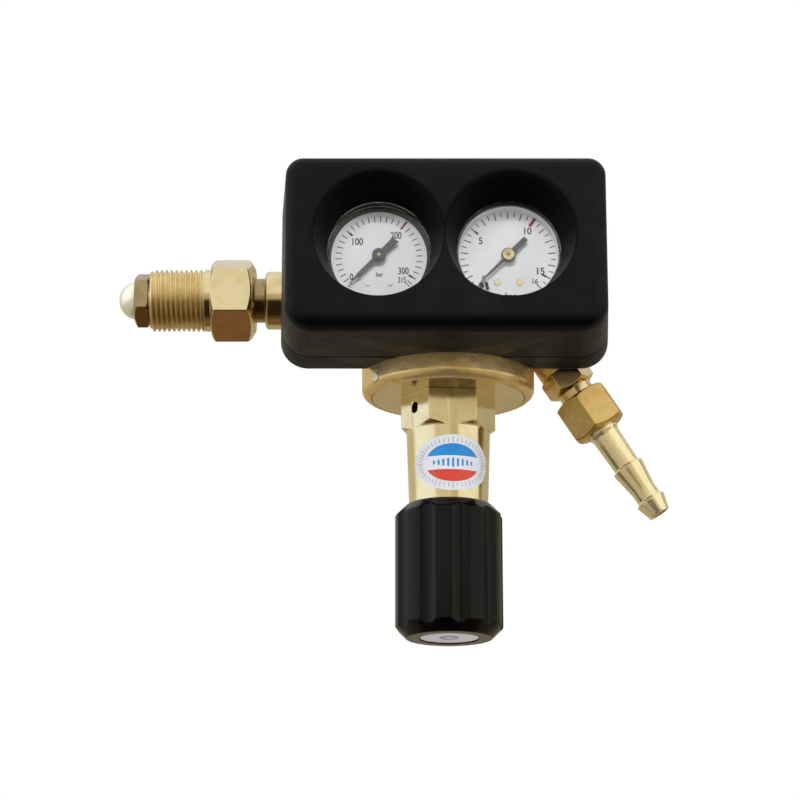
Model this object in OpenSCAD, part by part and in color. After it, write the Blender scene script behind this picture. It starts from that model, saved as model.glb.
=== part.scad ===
// Oxygen cylinder regulator: brass body with a hanging bonnet and knob, two gauges in a rubber boot,
// a side inlet with a swivel nut and an angled outlet with a hose tail.
// Millimetres. Origin on the inlet axis at the inlet nut's shoulder, +X into the body, +Z up,
// gauges facing -Y.

/* [Inlet] */
// Outside diameter of the inlet thread
inlet_thread_d = 22.91; // [21:0.01:26]
// Length of the inlet nut's threaded part, up to its shoulder
inlet_thread_l = 22.7; // [18:0.1:30]
// Size across flats of the inlet nut
inlet_nut_af = 27.5; // [26:0.5:36]
// Length of the inlet nut's hexagon
inlet_nut_l = 16.1; // [12:0.1:24]
// Diameter of the stem that the nut turns on
stem_d = 16.3; // [13:0.1:17]
// Bare stem between the nut and the collar
nut_play = 3.7; // [2:0.1:8]
// Diameter of the stem's collar
collar_d = 21.4; // [18:0.1:23]
// Length of the stem's collar
collar_l = 12; // [6:0.5:20]
// Length of the stem's thread in the body
stem_thread_l = 12; // [8:0.5:16]
// Bore of the stem
stem_bore_d = 6; // [4:0.5:7]
// Size across flats of the nose
nose_af = 18; // [17:0.5:19]
// Length of the nose's hexagon
nose_hex_l = 5.2; // [4:0.1:8]
// Radius of the nose's round seat
nose_r = 7; // [6:0.1:8]
// How far the round seat stands out of the hexagon
nose_out = 6.1; // [4:0.1:6.5]

/* [Body] */
// Distance from the inlet nut's shoulder to the bonnet axis
bonnet_axis_x = 86.9; // [84:0.1:100]
// Diameter of the body's side arms
arm_d = 23.4; // [20:0.1:23.6]
// Length of the right arm from the bonnet axis
right_arm_l = 31; // [29:0.5:38]
// Diameter of the body's upright barrel
barrel_d = 30; // [26:0.5:30]
// Height of the barrel's top above the inlet axis
barrel_top = 17; // [15:0.5:24]
// Diameter of the diaphragm housing
cup_d = 63; // [62:0.5:70]
// Height of the joint with the bonnet below the inlet axis
joint_z = -37.7; // [-44:0.1:-36]
// Height of the housing's straight side
cup_side_h = 13.7; // [11:0.1:15]
// Height of the sloping shoulder above the side
shoulder_h = 9; // [7:0.5:12]
// Radius of the housing's lower edge
cup_edge_r = 3.4; // [1:0.1:3.5]
// Diameter of the high-pressure chamber
chamber_d = 15; // [14:0.5:18]
// Depth of the high-pressure chamber's floor below the inlet axis
chamber_floor_z = -9; // [-11:0.5:-8]
// Diameter of the low-pressure chamber
low_chamber_d = 46; // [44:0.5:48]
// Height of the low-pressure chamber
low_chamber_h = 4.5; // [4:0.1:6]
// Diameter of the drilled gas ways
gas_way_d = 4; // [2:0.5:5]
// Distance of the low-pressure riser from the bonnet axis
riser_x = 19.5; // [18:0.5:20]

/* [Bonnet] */
// Thickness of the bonnet's threaded flange
bonnet_flange_t = 6.2; // [5:0.1:8]
// Diameter of the bonnet's flange
bonnet_flange_d = 55.6; // [54:0.1:56]
// Size across flats of the bonnet's hexagon
bonnet_af = 30; // [29:0.5:36]
// Length of the bonnet's hexagon
bonnet_hex_l = 10.8; // [8:0.1:14]
// Turn of the bonnet's hexagon
bonnet_turn = 5; // [0:1:59]
// Diameter of the bonnet tube under the hexagon
bonnet_top_d = 30.4; // [30:0.1:32]
// Diameter of the bonnet tube inside the knob
bonnet_end_d = 28.6; // [28:0.1:29.4]
// Bore of the bonnet
bonnet_bore_d = 22.4; // [22:0.1:23]
// Height of the bonnet's lower end
bonnet_end_z = -98; // [-102:0.5:-96]
// Thickness of the bonnet's end wall
bonnet_wall_t = 5; // [3:0.5:7]
// Diameter of the vent hole in the bonnet's hexagon
vent_d = 4; // [2:0.5:5]
// Diameter of the pin that locks the bonnet
lock_pin_d = 3.6; // [2:0.1:4]

/* [Diaphragm and valve] */
// Thickness of the diaphragm
diaphragm_t = 1.5; // [1:0.1:2]
// Thickness of the slip ring under the diaphragm
slip_ring_t = 1; // [0.8:0.1:1.5]
// Lift of the valve at full pressure
valve_lift = 1; // [0.5:0.1:1.2]
// Diameter of the pad above the diaphragm
pad_d = 28; // [20:1:34]
// Diameter of the spring pad under the diaphragm
spring_pad_d = 24; // [18:1:25]
// Diameter of the valve pin
valve_pin_d = 2.4; // [1.6:0.1:2.6]
// Bore of the valve seat
seat_bore_d = 3.6; // [3:0.1:4]
// Diameter of the poppet's stem
poppet_stem_d = 5; // [4:0.1:5.4]
// Diameter of the poppet's head
poppet_d = 9; // [8:0.1:10]
// Size across flats of the chamber plug
plug_af = 22; // [21:0.5:26]

/* [Knob and adjusting screw] */
// Diameter of the knob
knob_d = 38.9; // [37:0.1:46]
// Height of the knob
knob_h = 48.5; // [46:0.5:56]
// Height of the knob's upper rim
knob_top_z = -77.9; // [-82:0.1:-74]
// Chamfer at both ends of the knob
knob_chamfer = 4; // [2:0.1:4]
// Number of grip flutes
flutes = 10; // [6:1:14]
// Depth of a grip flute
flute_depth = 1.35; // [0.8:0.05:2]
// Radius of a grip flute
flute_r = 4.6; // [3:0.1:6]
// Diameter of the cap in the knob
knob_cap_d = 21; // [18:0.5:23]
// Diameter of the adjusting screw's thread
screw_d = 12; // [10:0.5:12.5]
// Pitch of the adjusting screw, left-handed
screw_pitch = 1.75; // [1:0.25:2]
// Turns from no pressure to full pressure
screw_turns = 5; // [3:1:5]
// Diameter of the main spring's wire
spring_wire_d = 2.8; // [2:0.1:3]

/* [Outlet] */
// Outlet's distance to the right of the bonnet axis, at its hexagon
outlet_x = 44.6; // [44:0.1:50]
// Outlet's height at its hexagon
outlet_z = -31.9; // [-34:0.1:-30]
// Slope of the outlet below level
outlet_slope = 57; // [55:0.5:60]
// Diameter of the outlet boss
outlet_boss_d = 16.5; // [15:0.5:17]
// Size across flats of the outlet adapter
adapter_af = 16.3; // [16:0.1:18]
// Diameter of the adapter's neck
adapter_neck_d = 13; // [11:0.1:13.4]
// Diameter of the thread under the union nut
union_thread_d = 14.6; // [14:0.1:15.4]
// Size across flats of the union nut
union_af = 19; // [18.6:0.1:22]
// Length of the union nut
union_l = 15.1; // [14:0.1:20]
// Length of the hose tail outside the union nut
tail_l = 37.1; // [34:0.1:45]
// Diameter of the hose tail's first barb
barb_d = 12; // [11:0.1:12]
// Bore of the hose tail
tail_bore_d = 5.8; // [4:0.1:6]

/* [Relief valve] */
// Relief valve's distance to the right of the bonnet axis
relief_x = 22.3; // [22.3:0.1:23]
// Relief valve's distance behind the inlet axis
relief_y = 6; // [6:0.1:7]
// Size across flats of the relief valve's cap
relief_af = 13; // [12:0.5:15]
// Height of the relief valve's cap
relief_cap_h = 14; // [13:0.5:18]
// Lift of the relief valve
relief_lift = 1.5; // [0.5:0.1:2]

/* [Gauges] */
// Left gauge's distance from the bonnet axis
high_gauge_x = -25.1; // [-28:0.1:-24.5]
// Right gauge's distance from the bonnet axis
low_gauge_x = 21.1; // [20.5:0.1:23]
// Height of the gauges above the inlet axis
gauge_z = 5.8; // [4:0.1:7]
// Diameter of a gauge case
case_d = 40.4; // [39:0.1:41]
// Depth of a gauge case
case_l = 21.3; // [20.5:0.1:24]
// Thickness of a gauge case's wall
case_t = 1; // [0.8:0.1:1.2]
// Distance of a gauge's seat in front of the inlet axis
gauge_seat = 11.8; // [11.8:0.1:12]
// Size across flats of a gauge's socket
socket_af = 14; // [13:0.5:15]
// Diameter of a gauge's thread
gauge_thread_d = 13; // [12:0.1:13.2]
// Thickness of a gauge's window
window_t = 1.7; // [1:0.1:2]
// Sweep of a gauge's pointer in degrees
pointer_sweep = 270; // [240:5:280]
// Length of the pointer's tip
pointer_l = 14.8; // [12:0.1:16]
// Length of the pointer's tail
pointer_tail_l = 8.3; // [6:0.1:10]
// Size of the movement's gear teeth
gear_module = 0.35; // [0.3:0.01:0.36]
// Teeth on the pinion
pinion_teeth = 8; // [8:1:9]
// Turns of the pinion for one turn of the sector
gear_ratio = 8; // [8:1:8]

/* [Boot] */
// Width of the boot
boot_w = 112.8; // [112:0.1:120]
// Height of the boot
boot_h = 64.8; // [64:0.1:70]
// Height of the boot's underside
boot_base_z = -29.6; // [-30:0.1:-29]
// Boot's middle, beside the bonnet axis
boot_x = -1.5; // [-2:0.1:0]
// Distance of the boot's back in front of the inlet axis
boot_back = 12.1; // [12:0.1:14]
// Depth of the boot
boot_l = 48.1; // [47:0.1:52]
// Thickness of the boot's walls
boot_t = 4; // [3:0.1:4.5]
// Corner radius along the boot's top
boot_top_r = 6.3; // [6:0.1:9]
// How much each side of the boot widens towards the back
boot_flare = 2.9; // [0:0.1:4]
// How much the boot's base drops towards the back
boot_drop = 1; // [0:0.1:2]
// Corner radius along the boot's underside
boot_base_r = 10; // [7:0.1:12]
// Radius of the boot's front edge
boot_front_r = 6; // [3:0.1:6]
// Diameter of a gauge recess at the front
recess_d = 45.2; // [44:0.1:46]
// Diameter of a gauge recess at the window
recess_window_d = 36.6; // [35:0.1:37]
// Wall of the funnel round a recess
funnel_t = 3.5; // [2.5:0.1:4]
// Depth of the mould line round the boot
mould_line = 0.6; // [0.2:0.1:1]

/* [Fits] */
// Radial clearance of turning and screwed fits
fit = 0.1; // [0.05:0.01:0.1]
// Gap between pieces that stay apart
gap = 0.4; // [0.3:0.05:0.5]

/* [Hidden] */
$fn = 72;

brass = [0.83, 0.69, 0.42];
pale_brass = [0.87, 0.79, 0.6];
steel = [0.7, 0.7, 0.72];
black = [0.1, 0.1, 0.11];
eps = 0.01;
cut = 1;
chamfer_slope = tan(30);

// Stations along the inlet
nut_end_x = -inlet_thread_l;
nose_face_x = nut_end_x - gap;
collar_x = inlet_nut_l + nut_play;
arm_face_x = collar_x + collar_l;
stem_end_x = arm_face_x + stem_thread_l;
nose_spigot_d = stem_bore_d + 4;
nose_spigot_l = 10;
filter_d = stem_bore_d + 3.6;
filter_l = 14;
stem_thread_d = stem_d - 0.5;

// Levels through the diaphragm housing, from the joint upward
flange_top_z = joint_z + bonnet_flange_t;
diaphragm_z = flange_top_z + slip_ring_t;
ledge_z = diaphragm_z + diaphragm_t;
low_ceiling_z = ledge_z + low_chamber_h;
cup_top_z = joint_z + cup_side_h;
pad_t = 1.6;
spring_pad_t = 2;
spring_seat_z = diaphragm_z - spring_pad_t;
lock_pin_z = joint_z + 3.7;
lock_pin_angle = -147;
diaphragm_d = bonnet_flange_d - 1;
slip_ring_w = 3.8;

// Levels in the high-pressure chamber
seat_t = 3;
seat_lip_z = chamber_floor_z + seat_t + 1;
disc_t = 1.5;
disc_out = 0.8;
disc_d = poppet_d - 1.8;
poppet_base_z = seat_lip_z + disc_out;
poppet_shoulder_z = poppet_base_z + 3.7;
plug_base_z = poppet_shoulder_z + 6.5;
plug_seal_t = 1;
plug_seat_z = barrel_top + plug_seal_t;
plug_hex_h = 6;
poppet_top_z = plug_base_z + 6;
pin_top_z = seat_lip_z + disc_t;
pin_foot_z = ledge_z + pad_t;

// Levels in the bonnet and knob
bonnet_floor_z = bonnet_end_z + bonnet_wall_t;
washer_t = 1;
collar_h = 3;
screw_thread_z = bonnet_floor_z + washer_t + collar_h;
carrier_t = 4;
carrier_hub_h = 4;
carrier_z = screw_thread_z + 5;
carrier_travel = screw_turns * screw_pitch;
screw_top_z = carrier_z + carrier_t + carrier_hub_h + carrier_travel + 1;
spring_base_z = carrier_z + carrier_t;
spring_inner_r = screw_d / 2 + 1.35;
key_w = 3;
key_out = 1.3;
shank_d = 10;
drive_af = 8.4;
knob_base_z = knob_top_z - knob_h;
web_top_z = bonnet_end_z - 0.8;
web_t = 7;
web_base_z = web_top_z - web_t;
knob_nut_h = 6;
knob_cap_t = 2.5;
cap_sink = 0.4;
cap_seat = 0.9;
knob_bore_d = bonnet_end_d + 1;
core_inner_d = knob_cap_d + 1.4;
core_outer_d = knob_bore_d + 1.6;
core_base_z = knob_base_z + knob_chamfer + 3.4;

// Stations along the outlet, measured from its middle hexagon point
outlet_root = (riser_x - outlet_x) / cos(outlet_slope);
adapter_face = -5.2;
adapter_hex_end = 2.8;
adapter_thread_l = 11;
union_face = 6;
union_end = union_face + union_l;
adapter_end = union_face + 8;
tail_head_l = 3.2;
tail_head = adapter_end + 0.7;
tail_shank_d = barb_d;
tail_end = union_end + tail_l;
tail_tube_d = barb_d - 1.5;
tail_waist_d = barb_d - 3;
tail_mouth_d = barb_d - 4.2;
barb_base = tail_end - 21.3;
barb_peak = barb_base + 0.8;
waist_start = barb_peak + 9.8;
waist_end = waist_start + 3.8;
end_barb = waist_end + 1;

// Levels in the relief valve
relief_seat_z = 5;
relief_top_z = arm_d / 2 + 1.8;
relief_thread_d = 10.2;
relief_poppet_d = 8;
relief_boss_r = relief_thread_d / 2 + 2.6;
relief_way_z = outlet_z + (outlet_x - relief_x) * tan(outlet_slope);
riser_top_z = outlet_z + (outlet_x - riser_x) * tan(outlet_slope);
relief_poppet_h = 3;
relief_cap_top = relief_top_z + relief_cap_h;
relief_ceiling_z = relief_cap_top - 2;
relief_stem_top = relief_ceiling_z - relief_lift - 0.5;

// Hollow curve from the bonnet's hexagon into its tube
neck_r = 7.5;
neck_turn = 44;
neck_base_z = joint_z - bonnet_hex_l - 2.6;

// Depths through a gauge, measured out from the inlet axis
seal_t = 1;
socket_hex = gauge_seat + seal_t;
gauge_boss_r = socket_af / 2 + 2;
case_back = socket_hex + 4.2;
case_floor = case_back + 1.2;
case_front = case_back + case_l;
window_front = case_front + window_t;
block_front = case_floor + 7.3;
plate_t = 1;
tube_back = case_floor + 1.3;
tube_w = 5;
front_plate = block_front + 6.1;
dial_back = front_plate + plate_t;
dial_t = 0.5;
sector_back = block_front + 3;
sector_t = 0.8;
link_back = sector_back + sector_t + 0.3;
link_t = 0.5;
skirt_back = dial_back + dial_t + 0.3;
pointer_back = dial_back + dial_t + 1.9;
pointer_hub_h = 2;
arbor_r = 0.5;
case_r = case_d / 2;
dial_r = case_r - case_t - 0.6;
pinion_r = gear_module * pinion_teeth / 2;
sector_r = pinion_r * gear_ratio;
sector_angle = -52.3;
sector_pivot = (pinion_r + sector_r) * [cos(sector_angle), sin(sector_angle)];
sector_sweep = pointer_sweep / gear_ratio;
tail_arm = 4;
tube_r = 13;
tube_wall = 1.8;
tube_tip_angle = 20;
tube_root_angle = 262;
tip_point = (tube_r - 0.4) * [cos(tube_tip_angle), sin(tube_tip_angle)];
pillars = [[6, 9], [-8, 8], [-9, -9]];
dial_screw_x = 3.9;
dial_screw_y = -9.4;

// Boot outline
boot_front = boot_back + boot_l;
boot_line = boot_back + 13.8;
line_share = (boot_line - boot_back) / (boot_l - boot_front_r);
line_flare = boot_flare * (1 - line_share);
line_lift = boot_drop * line_share;
boot_left = bonnet_axis_x + boot_x - boot_w / 2;
boot_top_z = boot_base_z + boot_h;
lip_back = window_front + 0.3;
funnel_front = boot_front - boot_front_r;

// A ring or disc on the vertical axis
module ring(r, z0, z1, hole = 0) {
    translate([0, 0, z0]) difference() {
        cylinder(r = r, h = z1 - z0);
        if (hole > 0) translate([0, 0, -cut]) cylinder(r = hole, h = z1 - z0 + 2 * cut);
    }
}

// A hexagonal bar on the vertical axis, with its corners turned off at both ends
module hex_bar(af, z0, z1, face0, face1) {
    corner = af / sqrt(3) + 0.1;
    intersection() {
        translate([0, 0, z0]) cylinder(r = af / sqrt(3), h = z1 - z0, $fn = 6);
        rotate_extrude() polygon([
            [0, z0], [face0, z0], [corner, z0 + (corner - face0) * chamfer_slope],
            [corner, z1 - (corner - face1) * chamfer_slope], [face1, z1], [0, z1]
        ]);
    }
}

// A coil spring standing on z = 0, with closed ends
module coil(mean_r, wire_r, length, turns, sides, steps) {
    dead = 1;
    close = 2.05 * wire_r;
    live = (length - 2 * wire_r - 2 * dead * close) / (turns - 2 * dead);
    function rise(t) = t < dead ? t * close
        : t > turns - dead ? length - 2 * wire_r - (turns - t) * close
        : dead * close + (t - dead) * live;
    rings = turns * steps;
    points = [for (i = [0:rings], j = [0:sides - 1])
        let (a = 360 * i / steps, b = 360 * j / sides, r = mean_r + wire_r * cos(b))
        [r * cos(a), r * sin(a), wire_r + rise(i / steps) + wire_r * sin(b)]];
    walls = [for (i = [0:rings - 1], j = [0:sides - 1])
        let (k = (j + 1) % sides)
        [i * sides + j, i * sides + k, (i + 1) * sides + k, (i + 1) * sides + j]];
    start = [for (j = [sides - 1:-1:0]) j];
    finish = [for (j = [0:sides - 1]) rings * sides + j];
    polyhedron(points = points, faces = concat(walls, [start], [finish]), convexity = 10);
}

// Places a child that stands on the vertical axis
module on_bonnet() translate([bonnet_axis_x, 0, 0]) children();

// Places a child on the relief valve's upright axis
module on_relief() translate([bonnet_axis_x + relief_x, relief_y, 0]) children();

// Turns a child's vertical axis along the inlet
module on_inlet() rotate([0, 90, 0]) children();

// Turns a child's vertical axis along the outlet, away from the body
module on_outlet() {
    translate([bonnet_axis_x + outlet_x, 0, outlet_z]) rotate([0, 90 + outlet_slope, 0]) children();
}

// Turns a child's vertical axis out of the gauge's face
module on_gauge(x) translate([bonnet_axis_x + x, 0, gauge_z]) rotate([90, 0, 0]) children();

// The pin hole or pin through the rim and the bonnet's flange
module lock_pin_at(r, from, to) {
    translate([0, 0, lock_pin_z]) rotate([0, 0, lock_pin_angle]) rotate([0, 90, 0])
        translate([0, 0, from]) cylinder(r = r, h = to - from);
}

// Body
module body_outside() {
    on_bonnet() {
        rotate_extrude() {
            translate([0, joint_z]) square([cup_d / 2 - cup_edge_r, cup_side_h]);
            translate([0, joint_z + cup_edge_r]) square([cup_d / 2, cup_side_h - cup_edge_r]);
            translate([cup_d / 2 - cup_edge_r, joint_z + cup_edge_r]) circle(cup_edge_r);
            polygon([
                [0, cup_top_z - eps], [cup_d / 2, cup_top_z - eps], [cup_d / 2 - 1.5, cup_top_z + 1.5],
                [barrel_d / 2, cup_top_z + shoulder_h], [barrel_d / 2, barrel_top - 1],
                [barrel_d / 2 - 1, barrel_top], [0, barrel_top]
            ]);
        }
        translate([riser_x, 0, cup_top_z]) cylinder(r = gas_way_d / 2 + 3.5, h = -cup_top_z);
        translate([relief_x, relief_y, 0]) rotate_extrude() polygon([
            [0, -relief_boss_r], [relief_boss_r, 0], [relief_boss_r, relief_top_z], [0, relief_top_z]
        ]);
    }
    on_inlet() rotate_extrude() polygon([
        [0, arm_face_x], [arm_d / 2 - 1, arm_face_x], [arm_d / 2, arm_face_x + 1],
        [arm_d / 2, bonnet_axis_x + right_arm_l - 2], [arm_d / 2 - 2, bonnet_axis_x + right_arm_l],
        [0, bonnet_axis_x + right_arm_l]
    ]);
    on_outlet() ring(outlet_boss_d / 2, outlet_root, adapter_face);
    for (x = [high_gauge_x, low_gauge_x]) on_gauge(x) ring(gauge_boss_r, 3, gauge_seat);
}

module body() color(brass) difference() {
    body_outside();
    on_bonnet() {
        ring(bonnet_flange_d / 2 + fit, joint_z - cut, ledge_z);
        ring(low_chamber_d / 2, ledge_z - eps, low_ceiling_z);
        ring(gas_way_d / 2 + 0.5, low_ceiling_z - cut, chamber_floor_z + cut);
        ring(chamber_d / 2, chamber_floor_z, barrel_top + cut);
        translate([riser_x, 0, 0]) ring(gas_way_d / 2, low_ceiling_z - cut, riser_top_z);
        translate([relief_x, relief_y, 0]) {
            ring(gas_way_d / 2, relief_way_z - gas_way_d / 2, relief_seat_z + cut);
            ring(relief_thread_d / 2 + fit, relief_seat_z, relief_top_z + cut);
        }
        translate([relief_x, 0, relief_way_z]) rotate([-90, 0, 0]) ring(gas_way_d / 2, 0, relief_y);
        lock_pin_at(lock_pin_d / 2 + fit, bonnet_flange_d / 2 - cut, cup_d / 2 + cut);
    }
    on_inlet() {
        ring(stem_thread_d / 2 + fit, arm_face_x - cut, stem_end_x + 0.5);
        ring(gas_way_d / 2 + 0.5, stem_end_x, bonnet_axis_x);
    }
    on_outlet() {
        ring(union_thread_d / 2 - 0.8 + fit, adapter_face - adapter_thread_l - 0.5, adapter_face + cut);
        ring(gas_way_d / 2, outlet_root, adapter_face - adapter_thread_l);
    }
    for (x = [high_gauge_x, low_gauge_x])
        on_gauge(x) ring(gauge_thread_d / 2 + fit, 1, gauge_seat + cut);
}

// Bonnet
module bonnet() color(brass) on_bonnet() difference() {
    union() {
        ring(bonnet_flange_d / 2, joint_z, flange_top_z);
        rotate([0, 0, bonnet_turn]) intersection() {
            translate([0, 0, neck_base_z])
                cylinder(r = bonnet_af / sqrt(3), h = joint_z + eps - neck_base_z, $fn = 6);
            rotate_extrude() polygon(concat(
                [[0, neck_base_z]],
                [for (a = [0:11:neck_turn])
                    [bonnet_top_d / 2 - 0.2 + neck_r * (1 - cos(a)), neck_base_z + neck_r * sin(a)]],
                [[bonnet_af, neck_base_z + neck_r * sin(neck_turn) + 2],
                    [bonnet_af, joint_z + 1], [0, joint_z + 1]]
            ));
        }
        rotate_extrude() polygon([
            [0, bonnet_end_z], [bonnet_end_d / 2 - 1, bonnet_end_z], [bonnet_end_d / 2, bonnet_end_z + 1],
            [bonnet_end_d / 2, knob_top_z], [bonnet_top_d / 2, joint_z - bonnet_hex_l - 2],
            [bonnet_top_d / 2, joint_z], [0, joint_z]
        ]);
    }
    ring(bonnet_bore_d / 2, bonnet_floor_z, flange_top_z + cut);
    ring(spring_pad_d / 2 + 1.3, spring_seat_z - 3.5, flange_top_z + cut);
    ring(shank_d / 2 + fit, bonnet_end_z - cut, bonnet_floor_z + cut);
    translate([0, -(key_w + 2 * gap) / 2, screw_thread_z])
        cube([bonnet_bore_d / 2 + key_out + 0.2, key_w + 2 * gap, joint_z - screw_thread_z]);
    rotate([0, 0, bonnet_turn - 150]) translate([0, 0, joint_z - bonnet_hex_l / 2]) rotate([0, 90, 0])
        cylinder(r = vent_d / 2, h = bonnet_af);
    lock_pin_at(lock_pin_d / 2 + fit, bonnet_flange_d / 2 - 3.1, bonnet_flange_d / 2 + cut);
}

module bonnet_lock_pin() color(pale_brass) on_bonnet()
    lock_pin_at(lock_pin_d / 2, bonnet_flange_d / 2 - 3, cup_d / 2 + 0.2);

// Diaphragm stack
module diaphragm() color(black) on_bonnet() ring(diaphragm_d / 2, diaphragm_z, ledge_z);

module diaphragm_slip_ring() color(pale_brass) on_bonnet()
    ring(diaphragm_d / 2, flange_top_z, diaphragm_z, diaphragm_d / 2 - slip_ring_w);

module diaphragm_pad() color(steel) on_bonnet() rotate_extrude() polygon([
    [0, ledge_z], [pad_d / 2, ledge_z], [pad_d / 2, ledge_z + pad_t - 0.6],
    [pad_d / 2 - 0.6, ledge_z + pad_t], [0, ledge_z + pad_t]
]);

module spring_pad() color(steel) on_bonnet() {
    ring(spring_pad_d / 2, spring_seat_z, diaphragm_z);
    ring(spring_inner_r - 0.8, spring_seat_z - 3, spring_seat_z + eps);
}

module main_spring() color(steel) on_bonnet() translate([0, 0, spring_base_z])
    coil(spring_inner_r + spring_wire_d / 2, spring_wire_d / 2, spring_seat_z - spring_base_z, 8, 8, 16);

module spring_carrier() color(brass) on_bonnet() difference() {
    union() {
        ring(bonnet_bore_d / 2 - 0.3, carrier_z, carrier_z + carrier_t);
        ring(spring_inner_r - 0.3, carrier_z, carrier_z + carrier_t + carrier_hub_h);
        translate([0, -key_w / 2, carrier_z]) cube([bonnet_bore_d / 2 + key_out - 0.3, key_w, carrier_t]);
    }
    ring(screw_d / 2 + fit, carrier_z - cut, carrier_z + carrier_t + carrier_hub_h + cut);
}

// Adjusting screw, captive in the bonnet's floor
module adjusting_screw() color(steel) on_bonnet() {
    rotate_extrude() polygon([
        [0, web_top_z], [shank_d / 2, web_top_z], [shank_d / 2, bonnet_floor_z + washer_t],
        [bonnet_bore_d / 2 - 2.2, bonnet_floor_z + washer_t], [bonnet_bore_d / 2 - 2.2, screw_thread_z],
        [screw_d / 2, screw_thread_z], [screw_d / 2, screw_top_z - 1], [screw_d / 2 - 1, screw_top_z],
        [0, screw_top_z]
    ]);
    translate([0, 0, web_base_z]) cylinder(r = drive_af / sqrt(3), h = web_t + eps, $fn = 6);
    ring(drive_af / 2 - 0.3, web_base_z - knob_nut_h - 1.5, web_base_z + eps);
}

module thrust_washer() color("white") on_bonnet()
    ring(bonnet_bore_d / 2 - 1.7, bonnet_floor_z, bonnet_floor_z + washer_t, shank_d / 2 + 0.3);

// Knob
module knob() color(black) on_bonnet() difference() {
    rotate_extrude() polygon([
        [0, knob_base_z], [knob_d / 2 - knob_chamfer, knob_base_z],
        [knob_d / 2, knob_base_z + knob_chamfer], [knob_d / 2, knob_top_z - knob_chamfer],
        [knob_d / 2 - knob_chamfer, knob_top_z], [0, knob_top_z]
    ]);
    for (i = [0:flutes - 1]) rotate([0, 0, -78.6 + i * 360 / flutes])
        translate([knob_d / 2 - flute_depth + flute_r, 0, knob_base_z - cut])
            cylinder(r = flute_r, h = knob_h + 2 * cut);
    ring(knob_bore_d / 2, web_top_z, knob_top_z + cut);
    ring(core_outer_d / 2, core_base_z, web_top_z + eps, core_inner_d / 2);
    translate([0, 0, web_base_z - cut])
        cylinder(r = drive_af / sqrt(3) + fit, h = web_t + 2 * cut, $fn = 6);
    ring(knob_cap_d / 2 - cap_seat, knob_base_z - cut, web_base_z);
    ring(knob_cap_d / 2 + fit, knob_base_z - cut, knob_base_z + cap_sink + knob_cap_t);
}

module knob_nut() color(steel) on_bonnet() difference() {
    hex_bar(13, web_base_z - knob_nut_h, web_base_z, 6, 6);
    ring(drive_af / 2 - 0.3 + fit, web_base_z - knob_nut_h - cut, web_base_z + cut);
}

module knob_cap() color([0.72, 0.73, 0.75]) on_bonnet() difference() {
    ring(knob_cap_d / 2, knob_base_z + cap_sink, knob_base_z + cap_sink + knob_cap_t);
    ring(3.3, knob_base_z, knob_base_z + cap_sink + 0.3, 2.9);
}

// High-pressure valve
module valve_seat() color(pale_brass) on_bonnet() difference() {
    union() {
        ring(chamber_d / 2 - 0.1, chamber_floor_z, chamber_floor_z + seat_t);
        rotate_extrude() polygon([
            [0, chamber_floor_z], [seat_bore_d / 2 + 2, chamber_floor_z],
            [seat_bore_d / 2 + 2, chamber_floor_z + seat_t], [seat_bore_d / 2 + 0.6, seat_lip_z],
            [0, seat_lip_z]
        ]);
    }
    ring(seat_bore_d / 2, chamber_floor_z - cut, seat_lip_z + cut);
}

module valve_poppet() color(brass) on_bonnet() difference() {
    union() {
        ring(poppet_d / 2, poppet_base_z, poppet_shoulder_z);
        ring(poppet_stem_d / 2, poppet_shoulder_z - eps, poppet_top_z);
    }
    ring(disc_d / 2 + 0.05, poppet_base_z - cut, pin_top_z);
}

module poppet_disc() color("ivory") on_bonnet()
    ring(disc_d / 2, seat_lip_z, pin_top_z, valve_pin_d / 2 + 0.1);

module valve_pin() color(steel) on_bonnet() ring(valve_pin_d / 2, pin_foot_z, pin_top_z);

module poppet_spring() color(steel) on_bonnet() translate([0, 0, poppet_shoulder_z])
    coil(poppet_stem_d / 2 + 1.1, 0.4, plug_base_z - poppet_shoulder_z, 5, 6, 12);

module chamber_plug() color(brass) on_bonnet() difference() {
    union() {
        ring(chamber_d / 2 - fit, plug_base_z, plug_seat_z + eps);
        rotate([0, 0, 12]) hex_bar(plug_af, plug_seat_z, plug_seat_z + plug_hex_h, plug_af, plug_af / 2 - 1);
    }
    ring(poppet_stem_d / 2 + fit, plug_base_z - cut, poppet_top_z + valve_lift + 1);
}

module chamber_plug_seal() color([0.72, 0.45, 0.3]) on_bonnet()
    ring(chamber_d / 2 + 3, barrel_top, plug_seat_z, chamber_d / 2 + fit);

// Inlet
module inlet_stem() color(brass) on_inlet() difference() {
    rotate_extrude() polygon([
        [0, nose_face_x], [stem_d / 2, nose_face_x], [stem_d / 2, collar_x], [collar_d / 2 - 0.8, collar_x],
        [collar_d / 2, collar_x + 0.8], [collar_d / 2, arm_face_x], [stem_thread_d / 2, arm_face_x],
        [stem_thread_d / 2, stem_end_x - 1], [stem_thread_d / 2 - 1, stem_end_x], [0, stem_end_x]
    ]);
    ring(stem_bore_d / 2, nose_face_x - cut, stem_end_x + cut);
    ring(nose_spigot_d / 2 + fit, nose_face_x - cut, nose_face_x + nose_spigot_l + 0.5);
    ring(filter_d / 2 + fit, stem_end_x - filter_l - 1, stem_end_x + cut);
}

module inlet_nose() color([0.88, 0.84, 0.72]) on_inlet() {
    hex_face_x = nose_face_x - nose_hex_l;
    difference() {
        union() {
            hex_bar(nose_af, hex_face_x, nose_face_x, nose_af / 2 - 0.6, nose_af / 2 + 0.4);
            intersection() {
                translate([0, 0, hex_face_x + nose_r - nose_out]) sphere(r = nose_r);
                ring(nose_r + 1, hex_face_x - nose_out - cut, nose_face_x);
            }
            ring(nose_spigot_d / 2, nose_face_x - eps, nose_face_x + nose_spigot_l);
        }
        ring(stem_bore_d / 2 - 1.2, hex_face_x - nose_out - cut, nose_face_x + nose_spigot_l + cut);
    }
}

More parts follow.
